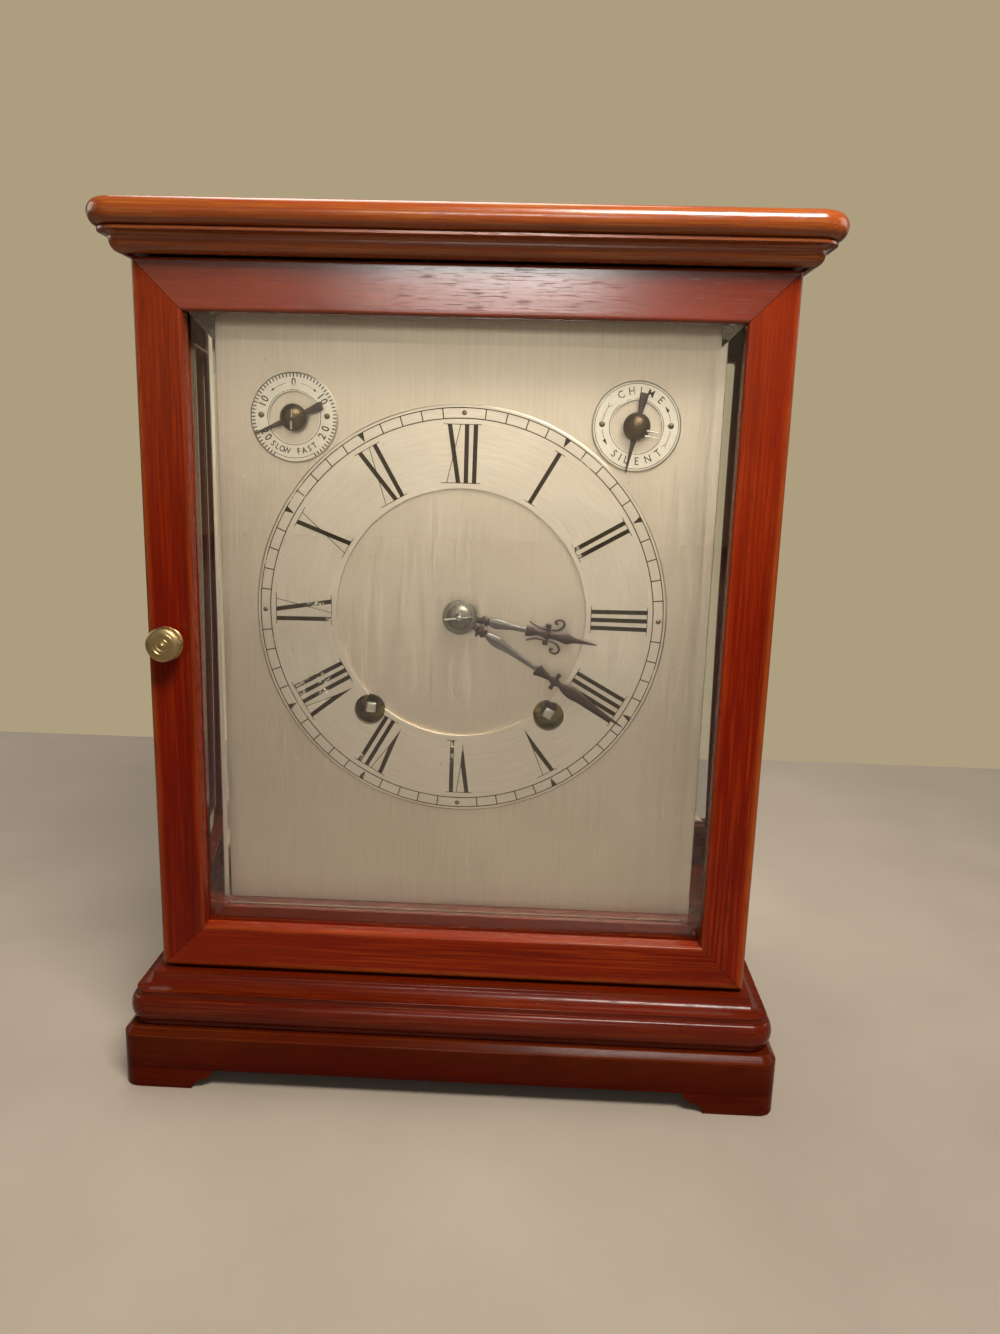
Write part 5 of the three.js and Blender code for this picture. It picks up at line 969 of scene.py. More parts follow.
for hour, word in enumerate(NUMERALS):
    angle = hour * 30
    pen = -sum(ADVANCE[letter] for letter in word) / 2
    heads, feet = [], []
    for letter in word:
        middle = pen + ADVANCE[letter] / 2
        pen += ADVANCE[letter]
        if letter == "I":
            foot = middle * 0.93
            hours.bar(angle, middle, foot, 1.65, HOUR_TOP, HOUR_FOOT)
            heads.append(middle)
            feet.append(foot)
        if letter == "X":
            hours.bar(angle, middle - 2.05, middle + 1.4, 1.7, HOUR_TOP, HOUR_FOOT)
            hours.stroke(angle, (middle + 2.05, HOUR_TOP), (middle - 2.9, HOUR_FOOT), HAIR_LINE)
            heads += [middle - 2.05, middle + 2.05]
            feet += [middle - 2.9, middle + 1.4]
        if letter == "V":
            wedge = [(-2.9, HOUR_TOP), (-1.2, HOUR_TOP), (0.55, 59.5), (-0.15, 51.2)]
            hours.patch(angle, [(middle + across, radius) for across, radius in wedge])
            hours.stroke(angle, (middle + 2.1, HOUR_TOP), (middle + 0.35, 59.0), HAIR_LINE)
            heads += [middle - 2.05, middle + 2.1]
    for ends, radius in ((heads, HOUR_TOP), (feet, HOUR_FOOT)):
        if ends:
            hours.stroke(angle, (min(ends) - SERIF, radius), (max(ends) + SERIF, radius), HAIR_LINE)
for quarter in range(4):
    x, _, z = hours.at(quarter * 90, 0, 75.6)
    rivet(chapter, x, z, 1.0)
hour_wax = waxed("hour_wax", 0.635)
ring_rivet = worked_metal("rivet_brass", (0.17, 0.12, 0.075), (0.065, 0.043, 0.028), 0.9, 0.28)
settle(
    chapter, "chapter_ring_waxed", "case", "silvered_brass", "chapter_ring",
    silvered("chapter_silver", (0.63, 0.54, 0.446), (DIAL_X, DIAL_Z)), hour_wax, ring_rivet, crease=25,
)

# Rate dial: a small silvered ring, divided round its rim and numbered from 0 both ways, with a word
# for each way at the foot. Two rivets hold it.
SMALL_SILVER = (0.68, 0.615, 0.52)
small_wax = waxed("small_dial_wax", 0.67)
rate = ring_blank(-SMALL_DIAL_X, SMALL_DIAL_Z, 9.4, 16.4, 96)
slow_fast = Engraver(rate, -SMALL_DIAL_X, SMALL_DIAL_Z)
slow_fast.circle(9.95, 0.22, 90)
slow_fast.circle(14.75, 0.2, 24, 151, 58)
for tick in range(-30, 31):
    slow_fast.stroke(tick * 5, (0, 14.55), (0, 15.95), 0.42)
for sign, spot in (("0", 0), ("1", -69), ("1", 52), ("0", -59), ("0", 62)):
    slow_fast.letter(sign, spot, 12.5, 3.0, 0.85, "out", 0.015)
for sign, spot in (("2", 245), ("2", 122.5), ("0", 233), ("0", 108)):
    slow_fast.letter(sign, spot, 12.4, 3.0, 0.85, "in", 0.015)
for word, start, step in (("SLOW", 220, -8.8), ("FAST", 173, -10)):
    for place, sign in enumerate(word):
        slow_fast.letter(sign, start + place * step, 12.5, 2.2, 0.85, "in", 0.015)
for way in (-1, 1):
    slow_fast.circle(12.5, 0.16, 12, min(way * 13, way * 41), 28)
    slow_fast.patch(way * 42, [(-way * 1.2, 12.95), (way * 0.3, 12.5), (-way * 1.2, 12.05)])
    rivet(rate, -SMALL_DIAL_X + way * 12.3, SMALL_DIAL_Z + 0.7, 1.15)
settle(
    rate, "rate_dial_waxed", "case", "silvered_brass", "rate_ring",
    silvered("rate_silver", SMALL_SILVER, (-SMALL_DIAL_X, SMALL_DIAL_Z)), small_wax, ring_rivet, crease=25,
)

# Chime dial: its fellow on the right, with a word for each end of the lever's way and an arrow
# past each rivet.
chime = ring_blank(SMALL_DIAL_X, SMALL_DIAL_Z, 9.4, 16.4, 96)
strike_silent = Engraver(chime, SMALL_DIAL_X, SMALL_DIAL_Z)
strike_silent.circle(9.95, 0.2, 90)
strike_silent.circle(15.3, 0.24, 90)
for sign, spot in zip("CHIME", (-29, -10.5, 4.5, 21.5, 41.5)):
    strike_silent.letter(sign, spot, 12.6, 2.8, 0.9, "out", 0.006)
for sign, spot in zip("SILENT", (218, 206, 195, 177, 157.5, 138)):
    strike_silent.letter(sign, spot, 12.6, 2.8, 0.9, "in", 0.006)
for way in (-1, 1):
    for start in (57, 96):
        strike_silent.circle(12.5, 0.2, 10, start if way > 0 else -start - 24, 24)
    tip, feather = (122, 58) if way < 0 else (55, 119)
    strike_silent.patch(way * tip, [(2.0, 13.1), (-0.4, 12.5), (2.0, 11.9)])
    for barb in (-0.75, 0.75):
        strike_silent.stroke(way * feather, (0, 12.5), (1.5, 12.5 + barb), 0.2)
    rivet(chime, SMALL_DIAL_X + way * 12.6, SMALL_DIAL_Z + 0.5, 1.15)
settle(
    chime, "chime_dial_waxed", "case", "silvered_brass", "chime_ring",
    silvered("chime_silver", SMALL_SILVER, (SMALL_DIAL_X, SMALL_DIAL_Z)), small_wax, ring_rivet, crease=25,
)

# Hands: filed from steel, blued once and now brown, with balusters polished bright. The minute hand
# ends in a leaf above a small cross, the hour hand in a spear between two scrolls.
MINUTE_AT, HOUR_AT = 122.8, 100.3
browned_steel = worked_metal("browned_steel", (0.068, 0.044, 0.04), (0.035, 0.021, 0.018), 0.85, 0.34, 0.15)
bright_limb = worked_metal("bright_steel_limb", (0.30, 0.275, 0.27), (0.09, 0.06, 0.058), 0.65, 0.15)


def filed(bm, outline, depth, polish, steps=20):
    """A part of a hand: (along, half width) points spun round its length, then filed to a depth."""
    before, old_verts = set(bm.faces), set(bm.verts)
    spun(bm, [(along, 0, half) for along, half in outline], (0, 0, 0), (1, 0, 0), steps)
    fresh = [v for v in bm.verts if v not in old_verts]
    widest = max(half for _, half in outline)
    bmesh.ops.scale(bm, vec=(1, depth / (2 * widest), 1), verts=fresh)
    coated(bm, before, polish)


def scrolled(bm, path, side, widths, depth):
    """A curled arm on one side of a hand, drawn as a tapering wire and filed flat."""
    wire = bpy.data.curves.new("arm", "CURVE")
    wire.dimensions, wire.bevel_depth, wire.bevel_resolution, wire.use_fill_caps = "3D", 1.0, 3, True
    line = wire.splines.new("NURBS")
    line.points.add(len(path) - 1)
    for point, (along, out), width in zip(line.points, path, widths):
        point.co, point.radius = (along, 0, side * out, 1), width / 2
    line.use_endpoint_u, line.order_u, line.resolution_u = True, 3, 5
    mesh = mesh_of(wire)
    mesh.transform(Matrix.Diagonal((1, depth / max(widths), 1, 1)))
    bm.from_mesh(mesh)
    bpy.data.meshes.remove(mesh)


minute_foot = [
    (4.8, 0), (4.9, 1.35), (6.4, 1.1), (7.6, 1.0), (8.3, 1.7), (8.8, 2.9), (9.3, 2.9), (9.8, 1.5),
    (10.6, 1.9), (11.1, 2.2), (11.5, 1.6), (12.1, 1.2), (12.2, 0),
]
minute_limb = [
    (12.0, 0), (12.1, 1.05), (13.2, 1.5), (14.8, 1.95), (16.6, 2.15), (18.4, 2.0), (20.6, 1.68),
    (24, 1.32), (29, 1.08), (33, 0.95), (35.6, 0.9), (35.7, 0),
]
minute_tip = [
    (35.3, 0), (35.35, 2.25), (35.7, 2.5), (36.4, 2.45), (37.4, 1.95), (38.8, 1.6), (40.6, 1.25),
    (41.4, 1.0), (42.2, 1.15), (42.9, 1.6), (43.6, 1.7), (44.8, 1.7), (45.5, 1.35), (46.2, 1.1),
    (46.9, 1.3), (48.2, 1.85), (50, 2.35), (52, 2.55), (54.2, 2.35), (57, 1.85), (60.5, 1.35), (65, 0.95),
    (70, 0.62), (74, 0.38), (75.7, 0.2), (75.9, 0),
]
minute = bmesh.new()
turned(minute, collar(2.6, 5.4, -0.5, 0.5, 0.2), (0, 0, 0), "Y", 40)
for outline, depth, polish in ((minute_foot, 1.5, 0), (minute_limb, 1.7, 1), (minute_tip, 1.2, 0)):
    filed(minute, outline, depth, polish)
cross_arm = [(44.2, 0), (44.2, 1.6), (44.1, 2.6), (44.2, 3.5)]
for side in (-1, 1):
    scrolled(minute, cross_arm, side, [1.7, 1.35, 1.9, 1.5], 1.3)
moved(minute, minute.verts, (DIAL_X, -58.0, DIAL_Z), MINUTE_AT - 90, "Y")
settle(
    minute, "minute_hand_steel", "minute_hand", "dark_steel", "minute_hand", browned_steel, bright_limb,
    crease=50,
)

hour_foot = [
    (5.3, 0), (5.4, 1.3), (7.0, 1.15), (8.2, 1.2), (8.8, 1.9), (9.3, 2.3), (9.8, 1.5), (10.3, 1.7),
    (10.7, 1.9), (11.1, 1.3), (11.4, 1.1), (11.5, 0),
]
hour_limb = [
    (11.2, 0), (11.3, 1.1), (12.4, 1.7), (13.8, 2.0), (15.2, 1.95), (17.2, 1.6), (20, 1.2), (23, 1.0),
    (25.9, 0.9), (26, 0),
]
hour_tip = [
    (25.6, 0), (25.65, 2.0), (26.1, 2.15), (27.2, 2.0), (28.4, 1.55), (29.8, 1.15), (31, 1.0),
    (32.4, 1.3), (33, 1.75), (34, 1.8), (35, 1.7), (35.8, 1.25), (37.4, 1.3), (39.4, 1.75), (41.0, 2.1),
    (42.2, 2.15), (43.4, 1.6), (44.8, 1.05), (46.6, 0.8), (49.5, 0.55), (52.5, 0.32), (53.5, 0.15),
    (53.6, 0),
]
hour = bmesh.new()
turned(hour, collar(3.6, 5.8, -0.5, 0.5, 0.2), (0, 0, 0), "Y", 40)
for outline, depth, polish in ((hour_foot, 1.3, 0), (hour_limb, 1.3, 1), (hour_tip, 1.1, 0)):
    filed(hour, outline, depth, polish)
spear_bar = [(33.9, 0), (33.9, 2.0), (33.9, 3.0), (33.9, 4.1)]
spear_scroll = [
    (33.9, 2.0), (36.2, 2.1), (38.6, 2.9), (40.0, 4.9), (39.0, 6.6), (36.9, 6.6), (36.0, 5.4),
    (36.8, 4.8), (37.3, 5.1),
]
spear_barb = [(33.9, 2.2), (31.6, 2.0), (29.0, 2.35), (26.4, 3.8)]
for side in (-1, 1):
    scrolled(hour, spear_bar, side, [2.6, 1.7, 2.3, 1.9], 1.1)
    scrolled(hour, spear_scroll, side, [0.8, 0.75, 0.85, 0.95, 0.95, 0.9, 0.95, 1.15, 0.9], 1.0)
    scrolled(hour, spear_barb, side, [0.95, 0.9, 0.9, 0.5], 1.0)
moved(hour, hour.verts, (DIAL_X, -56.0, DIAL_Z), HOUR_AT - 90, "Y")
settle(
    hour, "hour_hand_steel", "hour_hand", "dark_steel", "hour_hand", browned_steel, bright_limb,
    crease=50,
)


# Hand collet: a domed brass washer, gone grey, that a taper pin through the centre arbor presses
# against the minute hand.
def taper_pin(bm, thick, thin, length, steps, place, lean):
    """A drawn pin, driven through an arbor at a lean from the upright."""
    pin = bmesh.ops.create_cone(
        bm, cap_ends=True, segments=steps, radius1=thick, radius2=thin, depth=length,
    )
    moved(bm, pin["verts"], place, lean, "Y")


grey_bronze = worked_metal("grey_bronze", (0.25, 0.22, 0.18), (0.07, 0.055, 0.042), 0.8, 0.25, 0.2)
pin_steel = worked_metal("pin_steel", (0.56, 0.53, 0.47), (0.2, 0.16, 0.11), 0.5, 0.22)
collet = bmesh.new()
collet_dome = [
    (1.3, -58.65), (6.3, -58.65), (6.55, -58.85), (6.6, -59.15), (6.3, -59.5), (5.7, -59.62),
    (5.1, -59.6), (4.75, -59.7), (4.3, -60.2), (3.4, -60.75), (2.4, -61.0), (1.6, -61.05), (1.3, -60.9),
    (1.3, -58.65),
]
turned(collet, collet_dome, (DIAL_X, 0, DIAL_Z), "Y", 56)
before = set(collet.faces)
arbor_end = [(0, -62.0), (0.7, -61.95), (1.05, -61.75), (1.2, -61.4), (1.2, -58.8), (0, -58.8)]
turned(collet, arbor_end, (DIAL_X, 0, DIAL_Z), "Y", 24)
taper_pin(collet, 0.5, 0.26, 10.4, 14, (DIAL_X - 0.4, -61.15, DIAL_Z - 0.1), 82)
coated(collet, before, 1)
settle(collet, "centre_collet", "minute_hand", "bronze", "hand_collet", grey_bronze, pin_steel, crease=30)

# Rate and chime hands: small steel pointers with a spade tail, each under a domed bronze boss on an
# arbor that goes through the dial to its snail or lever. A pin through the arbor holds the boss.
boss_bronze = worked_metal("boss_bronze", (0.15, 0.098, 0.055), (0.045, 0.03, 0.02), 0.7, 0.22, 0.15)
boss_profile = [
    (0, -3.9), (0.9, -3.85), (2.2, -3.5), (3.5, -2.75), (4.4, -1.7), (4.75, -1.0), (4.95, -0.7),
    (5.0, -0.2), (4.8, 0.1), (0, 0.1),
]
small_arbor = [
    (0, -55.6), (1.6, -55.6), (1.6, -51.2), (3.2, -51.2), (3.2, -49.6), (1.6, -49.6), (1.6, -46.6),
    (1.4, -46.4), (0, -46.4),
]
for label, sx, angle, reach, tail in (("rate", -1, 247, 16.0, 11.6), ("chime", 1, 191, 17.4, 12.2)):
    x = sx * SMALL_DIAL_X
    small = bmesh.new()
    blade = [(3.6, 0), (3.7, 1.15), (5.2, 0.98), (8, 0.72), (12, 0.48), (reach - 0.5, 0.26), (reach, 0)]
    filed(small, blade, 0.7, 0, 12)
    spade = [
        (-4.0, 0), (-4.1, 0.85), (-6, 1.0), (-8.5, 1.3), (0.9 - tail, 1.6), (0.1 - tail, 1.45),
        (-tail, 0),
    ]
    filed(small, spade, 0.8, 0, 12)
    turned(small, boss_profile, (0, 0, 0), "Y", 40)
    for face in small.faces:
        if all(v.co.xz.length < 5.01 and abs(v.co.y) > 0.6 for v in face.verts):
            face.material_index = 1
    if label == "rate":
        cam_edge = [(4.8 + 0.2 * step, 22.5 * step) for step in range(17)]
    else:
        cam_edge = [(3.2, turn) for turn in range(30, 331, 20)] + [(8.6, -9), (9.6, -3), (9.6, 3), (8.6, 9)]
    cam = []
    for radius, turn in cam_edge:
        sine, cosine = math.sin(math.radians(turn)), math.cos(math.radians(turn))
        cam.append(small.verts.new((radius * sine, 7.5, -radius * cosine)))
    drawn_out(small, [small.faces.new(cam)], (0, 0.8, 0))
    moved(small, small.verts, (x, -55.5, SMALL_DIAL_Z), angle - 90, "Y")
    before = set(small.faces)
    turned(small, small_arbor, (x, 0, SMALL_DIAL_Z), "Y", 20)
    if label == "rate":
        block(small, (x - 0.35, x + 0.35), (-59.2, -58.6), (SMALL_DIAL_Z - 4.4, SMALL_DIAL_Z - 1.0))
        block(small, (x + 0.15, x + 0.55), (-59.65, -59.0), (SMALL_DIAL_Z - 0.2, SMALL_DIAL_Z + 2.6))
    else:
        for drop in (-1.9, -3.9):
            taper_pin(small, 0.32, 0.26, 5.2, 10, (x + 5.4, -57.6, SMALL_DIAL_Z + drop), 101)
    coated(small, before, 2)
    settle(
        small, f"{label}_pointer", f"{label}_hand", "bronze", f"{label}_hand", browned_steel, boss_bronze,
        pin_steel, crease=40,
    )

# Movement plates: two rolled brass plates, squared, grained and lacquered, with a hole at every
# pivot. Four turned pillars are riveted into the back plate and screwed to the front one.
POLISHED_BRASS = (0.60, 0.415, 0.165)
plate_brass = worked_metal("plate_brass", POLISHED_BRASS, (0.25, 0.155, 0.06), 0.5, 0.26, 0.12)
CENTRE, INTERMEDIATE, THIRD = (0, 187.3), (22.43, 178.74), (12.5, 204.73)
ESCAPE, PALLETS = (0, 219.7), (0, 238.08)
MINUTE_STUD, HAMMER_STUD = (-11.31, 198.61), (48, 165.3)
PLATE_LOW, PLATE_HIGH, PLATE_THICK = 116.3, 251.3, 2.5
FRONT_PLATE, BACK_PLATE = -38, 10
PILLARS = [(x, z) for x in (-59, 59) for z in (PLATE_LOW + 9, PLATE_HIGH - 9)]


def movement_plate(front, pivots):
    """A squared plate with its holes drilled; pivots are ((x, z), radius)."""
    holes = [(place, radius, 28) for place, radius in pivots]
    bm = pierced_sheet(68, PLATE_LOW, PLATE_HIGH, front, PLATE_THICK, holes)
    arris = [e for e in bm.edges if e.calc_face_angle(0) > 1.2]
    rounded(bm, [e for e in arris if abs(e.verts[0].co.y - e.verts[1].co.y) < 0.1], 0.45, 2)
    return bm


def screw_head(bm, x, face, z, radius, way, material):
    """A cheese head screw, slotted, standing on a face that looks forward (-1) or back (1)."""
    rise = [(0, 0.9), (radius - 0.3, 0.9), (radius, 0.6), (radius, -0.1), (0, -0.1)]
    head = bmesh.new()
    turned(head, [(r, face + way * h) for r, h in rise], (x, 0, z), "Y", 24)
    slot = bmesh.new()
    deep = sorted((face + way * 0.4, face + way * 2))
    block(slot, (-radius, radius), deep, (-radius * 0.14, radius * 0.14))
    moved(slot, slot.verts, (x, 0, z), 37 * x + 11 * z, "Y")
    made = shaped_by(head, slot)
    for face_made in made.faces:
        face_made.material_index = material
    put_into(bm, made)


screw_steel = worked_metal("screw_steel", (0.13, 0.14, 0.19), (0.05, 0.045, 0.05), 0.6, 0.22)
bright_steel = worked_metal("bright_steel", (0.5, 0.485, 0.46), (0.2, 0.165, 0.13), 0.55, 0.24, 0.1)
train = [(INTERMEDIATE, 1.26), (THIRD, 0.78), (ESCAPE, 0.78)]
train += [((sx * WINDING_X, WINDING_Z), 3.36) for sx in (1, -1)]
front_plate = movement_plate(FRONT_PLATE, train + [(CENTRE, 1.9), (PALLETS, 0.78)])
for x, z in PILLARS:
    screw_head(front_plate, x, FRONT_PLATE, z, 2.8, -1, 1)
before = set(front_plate.faces)
wheel_stud = [(0, -49.6), (1.3, -49.6), (1.44, -49.4), (1.44, -37.5), (0, -37.5)]
turned(front_plate, wheel_stud, (MINUTE_STUD[0], 0, MINUTE_STUD[1]), "Y", 18)
coated(front_plate, before, 2)
settle(
    front_plate, "front_movement_plate", "case", "brass", "front_plate", plate_brass, screw_steel,
    bright_steel, crease=28,
)

back_plate = movement_plate(BACK_PLATE, train + [(CENTRE, 1.26), (PALLETS, 1.1)])
pillar = [
    (0, -35.4), (4.0, -35.4), (4.0, -33.6), (3.5, -33.2), (4.0, -32.7), (4.0, -31.6), (3.0, -30.6),
    (2.7, -29), (2.7, -16), (3.1, -14.6), (3.6, -13.6), (3.6, -11.4), (3.1, -10.4), (2.7, -9), (2.7, 3.5),
    (3.0, 5.1), (4.0, 6.1), (4.0, 7.2), (3.5, 7.7), (4.0, 8.1), (4.0, 10.1), (2.9, 10.1), (2.9, 12.7),
    (2.5, 12.95), (0, 12.95),
]
for x, z in PILLARS:
    turned(back_plate, pillar, (x, 0, z), "Y", 28)
before = set(back_plate.faces)
hammer_post = [(0, 11), (2.6, 11), (2.6, 14.6), (1.6, 15.4), (1.6, 39.2), (1.3, 39.7), (0, 39.7)]
turned(back_plate, hammer_post, (HAMMER_STUD[0], 0, HAMMER_STUD[1]), "Y", 20)
coated(back_plate, before, 1)
settle(
    back_plate, "back_movement_plate", "case", "brass", "back_plate", plate_brass, bright_steel,
    crease=28,
)

# Seat: a bridge of three mahogany boards over the case floor that the movement is screwed down on.
seat = bmesh.new()
arch = [
    (-54, 44.1), (-46, 44.1), (-46, 108.2), (46, 108.2), (46, 44.1), (54, 44.1), (54, 116.2),
    (-54, 116.2),
]
seat.faces.new([seat.verts.new((x, FRONT_PLATE, z)) for x, z in arch])
drawn_out(seat, seat.faces[:], (0, 50.5, 0))
rounded(seat, seat.edges[:], 0.7, 2)
seat_wood = mahogany("seat_mahogany", (0.085, 0.012, 0.004), ALONG_X, (0.2, 0.6, 0.1))
settle(seat, "seat_board", "case", "mahogany", "movement_seat", seat_wood)


# Barrels: turned brass drums for the mainsprings, with a snapped in cover and the great wheel cut on
# a flange behind. The winding arbors go through them and end in squares behind the dial.
def toothed(bm, x, z, teeth, tip, root, front, thick):
    """A wheel blank with teeth cut round it, four points to a tooth."""
    rim = bmesh.ops.create_circle(bm, cap_ends=True, segments=teeth * 4, radius=tip)["verts"]
    for index, vert in enumerate(rim):
        if index % 4 > 1:
            vert.co *= root / tip
    moved(bm, rim, (x, front, z), 90, "X")
    face = [f for f in rim[0].link_faces if len(f.verts) == teeth * 4]
    drawn_out(bm, face, (0, thick, 0))


drum_brass = worked_metal("drum_brass", (0.57, 0.385, 0.145), (0.22, 0.13, 0.05), 0.6, 0.22, 0.12)
key_steel = worked_metal("key_worn_steel", (0.62, 0.57, 0.49), (0.2, 0.15, 0.1), 0.6, 0.24, 0.2)
drum = [
    (3.9, -27.4), (8, -27.4), (8.2, -28), (19.6, -28), (19.9, -27.6), (20.2, -28), (23, -28),
    (23.6, -27.8), (24, -27.2), (24, -24.6), (23.75, -24.4), (23.75, -24.0), (24, -23.8), (24, 0.4),
    (24.4, 1.2), (25.2, 2.0), (25.2, 3.0), (3.9, 3.0), (3.9, -27.4),
]
arbor = [
    (0, -39), (3.06, -39), (3.06, -35.1), (3.4, -35.1), (3.4, 9.6), (3.06, 9.6), (3.06, 12.7),
    (2.8, 12.9), (0, 12.9),
]
for train_name, sx, turn in (("going", 1, 28), ("strike", -1, 6)):
    x, z = sx * WINDING_X, WINDING_Z
    barrel = bmesh.new()
    turned(barrel, drum, (x, 0, z), "Y", 72)
    toothed(barrel, x, z, 60, 29.6, 27.7, 2.0, 2.4)
    drum_body = f"{train_name}_barrel"
    settle(barrel, f"{train_name}_spring_barrel", drum_body, "brass", drum_body, drum_brass, crease=28)
    winder = bmesh.new()
    turned(winder, arbor, (x, 0, z), "Y", 32)
    square = block(winder, (-2.3, 2.3), (-51, -38.5), (-2.3, 2.3))
    moved(winder, square, (x, 0, z), turn, "Y")
    rounded(winder, edges_where(winder, lambda v: v in square and v.co.y < -50.9), 1.2, 4)
    arbor_body = f"{train_name}_arbor"
    settle(winder, f"{train_name}_winding_square", arbor_body, "bright_steel", arbor_body, key_steel)


# Train and motion wheels: cut and crossed out from brass sheet, each riveted on a steel arbor with
# its pinion. The brass and the steel part at the pinion's edge.
def wheel_and_arbor(name, place, pinion_radius):
    """Brass for a wheel, with steel inside the pinion's radius."""
    material, tree, where, surface = new_finish(name)
    radius, _ = about_middle(tree, where, place)
    core = between(tree, radius, pinion_radius * 0.001, pinion_radius * 0.001 + 0.00005, 1, 0)
    brass_side = stained(tree, core, (*POLISHED_BRASS, 1), (0.46, 0.45, 0.44, 1))
    finish = node(
        tree, "ShaderNodeGroup", {"node_tree": aged_metal},
        Place=where, Metal=brass_side, Tarnish=(0.2, 0.13, 0.06, 1), Age=0.45, Gloss=0.24,
    ).outputs
    surface.inputs["Metallic"].default_value = 1.0
    tree.links.new(finish["Color"], surface.inputs["Base Color"])
    tree.links.new(finish["Roughness"], surface.inputs["Roughness"])
    return material


wheels = [
    ("intermediate_wheel", INTERMEDIATE, 4.5), ("centre_wheel", CENTRE, 4.7), ("third_wheel", THIRD, 2.1),
    ("escape_wheel", ESCAPE, 1.9), ("minute_wheel", MINUTE_STUD, 3.8), ("hour_wheel", CENTRE, 0.1),
    ("cannon_pinion", CENTRE, 9.0), ("anchor", PALLETS, 90.0),
]
for name, place, pinion_radius in wheels:
    for cad_slot in frame["nodes"][name].material_slots:
        cad_slot.material = wheel_and_arbor(f"{name}_metal", place, pinion_radius)

# Pendulum cock: a filed brass bridge, screwed to the back plate over the anchor's arbor, with the stud
# that the pendulum hangs on.
cock = bmesh.new()
HANG_Y, HANG_Z = 21.5, PALLETS[1]
low, high = HANG_Z - 4.55, HANG_Z + 5.85
block(cock, (-13, 13), (15.7, 18.1), (low, high))
for sx in (-1, 1):
    block(cock, sorted((sx * 7.8, sx * 13)), (12.6, 15.8), (low, high))
rounded(cock, cock.edges[:], 0.5, 2)
hanging_stud = [
    (0, 17.8), (1.1, 17.8), (1.1, 23.4), (2.7, 23.4), (3.0, 23.7), (3.0, 24.7), (2.6, 25.0), (0, 25.0),
]
turned(cock, hanging_stud, (0, 0, HANG_Z), "Y", 24)
for sx in (-1, 1):
    screw_head(cock, sx * 10.4, 18.1, HANG_Z + 0.6, 2.0, 1, 1)
settle(cock, "pendulum_bridge", "case", "brass", "pendulum_cock", plate_brass, screw_steel)

# Pendulum: an eye and a flat spring in a brass chop, a steel rod, and a lens shaped brass bob with a
# turned rim. A milled nut under the bob sets the rate.
ROD, NUT = 1.1, 3.3
pendulum = bmesh.new()
turned(pendulum, collar(1.4, 3.0, -1.6, 1.6, 0.2), (0, HANG_Y, HANG_Z), "Y", 24)
block(pendulum, (-1.6, 1.6), (HANG_Y - 1.6, HANG_Y + 1.6), (HANG_Z - 21.2, HANG_Z - 10.6))
rounded(pendulum, edges_where(pendulum, lambda v: v.co.z < HANG_Z - 10), 0.4, 2)
bob = [
    (0, -4.0), (2.2, -3.95), (2.5, -3.7), (3.2, -3.75), (9, -3.45), (14, -2.75), (16.8, -1.9),
    (17.1, -1.5), (17.6, -1.45), (18.6, -0.9), (19, 0), (18.6, 0.9), (17.6, 1.45), (17.1, 1.5),
    (16.8, 1.9), (14, 2.75), (9, 3.45), (3.2, 3.75), (2.5, 3.7), (2.2, 3.95), (0, 4.0),
]
turned(pendulum, bob, (0, HANG_Y, HANG_Z - 151.68), "Y", 64)
before = set(pendulum.faces)
block(pendulum, (-0.25, 0.25), (HANG_Y - 1.5, HANG_Y + 1.5), (HANG_Z - 11, HANG_Z - 2.6))
rod = [(0, 62.6), (0.8, 62.6), (ROD, 63.0), (ROD, HANG_Z - 20.5), (0, HANG_Z - 20.5)]
turned(pendulum, rod, (0, HANG_Y, 0), "Z", 20)
coated(pendulum, before, 1)
before = set(pendulum.faces)
turned(pendulum, collar(ROD, NUT, 63.6, 66.6, 0.3), (0, HANG_Y, 0), "Z", 30)
bmesh.ops.recalc_face_normals(pendulum, faces=pendulum.faces)
nut_axis = Vector((0, HANG_Y))
nut_faces = [f for f in pendulum.faces if f not in before]
milled = [f for f in nut_faces if all(abs((v.co.xy - nut_axis).length - NUT) < 0.02 for v in f.verts)]
bmesh.ops.inset_individual(pendulum, faces=milled, thickness=0.1, depth=-0.15, use_even_offset=True)
settle(pendulum, "pendulum_and_bob", "pendulum", "brass", "pendulum", drum_brass, bright_steel, crease=28)

# Gong: a round steel wire, hardened blue and wound in a flat spiral, its inner end pinned in the
# block of an iron stand that is screwed to the case floor.
blued_steel = worked_metal("blued_steel", (0.075, 0.083, 0.135), (0.035, 0.025, 0.028), 0.7, 0.24, 0.1)
iron = worked_metal("blacked_iron", (0.06, 0.055, 0.052), (0.10, 0.055, 0.03), 0.6, 0.42, 0.4)
GONG_Y, GONG_Z, GONG_OUTER, GONG_TURNS, GONG_PITCH = 36.5, 109.3, 40, 3.5, 6.4
wire = bpy.data.curves.new("gong_wire", "CURVE")
wire.dimensions, wire.bevel_depth, wire.bevel_resolution, wire.use_fill_caps = "3D", 1.5, 4, True
coil = wire.splines.new("POLY")
coil_steps = int(GONG_TURNS * 40)
coil.points.add(coil_steps + 1)
for step in range(coil_steps + 1):
    turns = GONG_TURNS * step / coil_steps
    radius = GONG_OUTER - GONG_PITCH * turns
    swing = 2 * math.pi * (turns - GONG_TURNS) - math.pi / 2
    coil.points[step].co = (radius * math.cos(swing), GONG_Y, GONG_Z + radius * math.sin(swing), 1)
coil.points[coil_steps + 1].co = (7.0, GONG_Y, GONG_Z - (GONG_OUTER - GONG_PITCH * GONG_TURNS), 1)
drawn_wire = mesh_of(wire)
gong = bmesh.new()
gong.from_mesh(drawn_wire)
bpy.data.meshes.remove(drawn_wire)
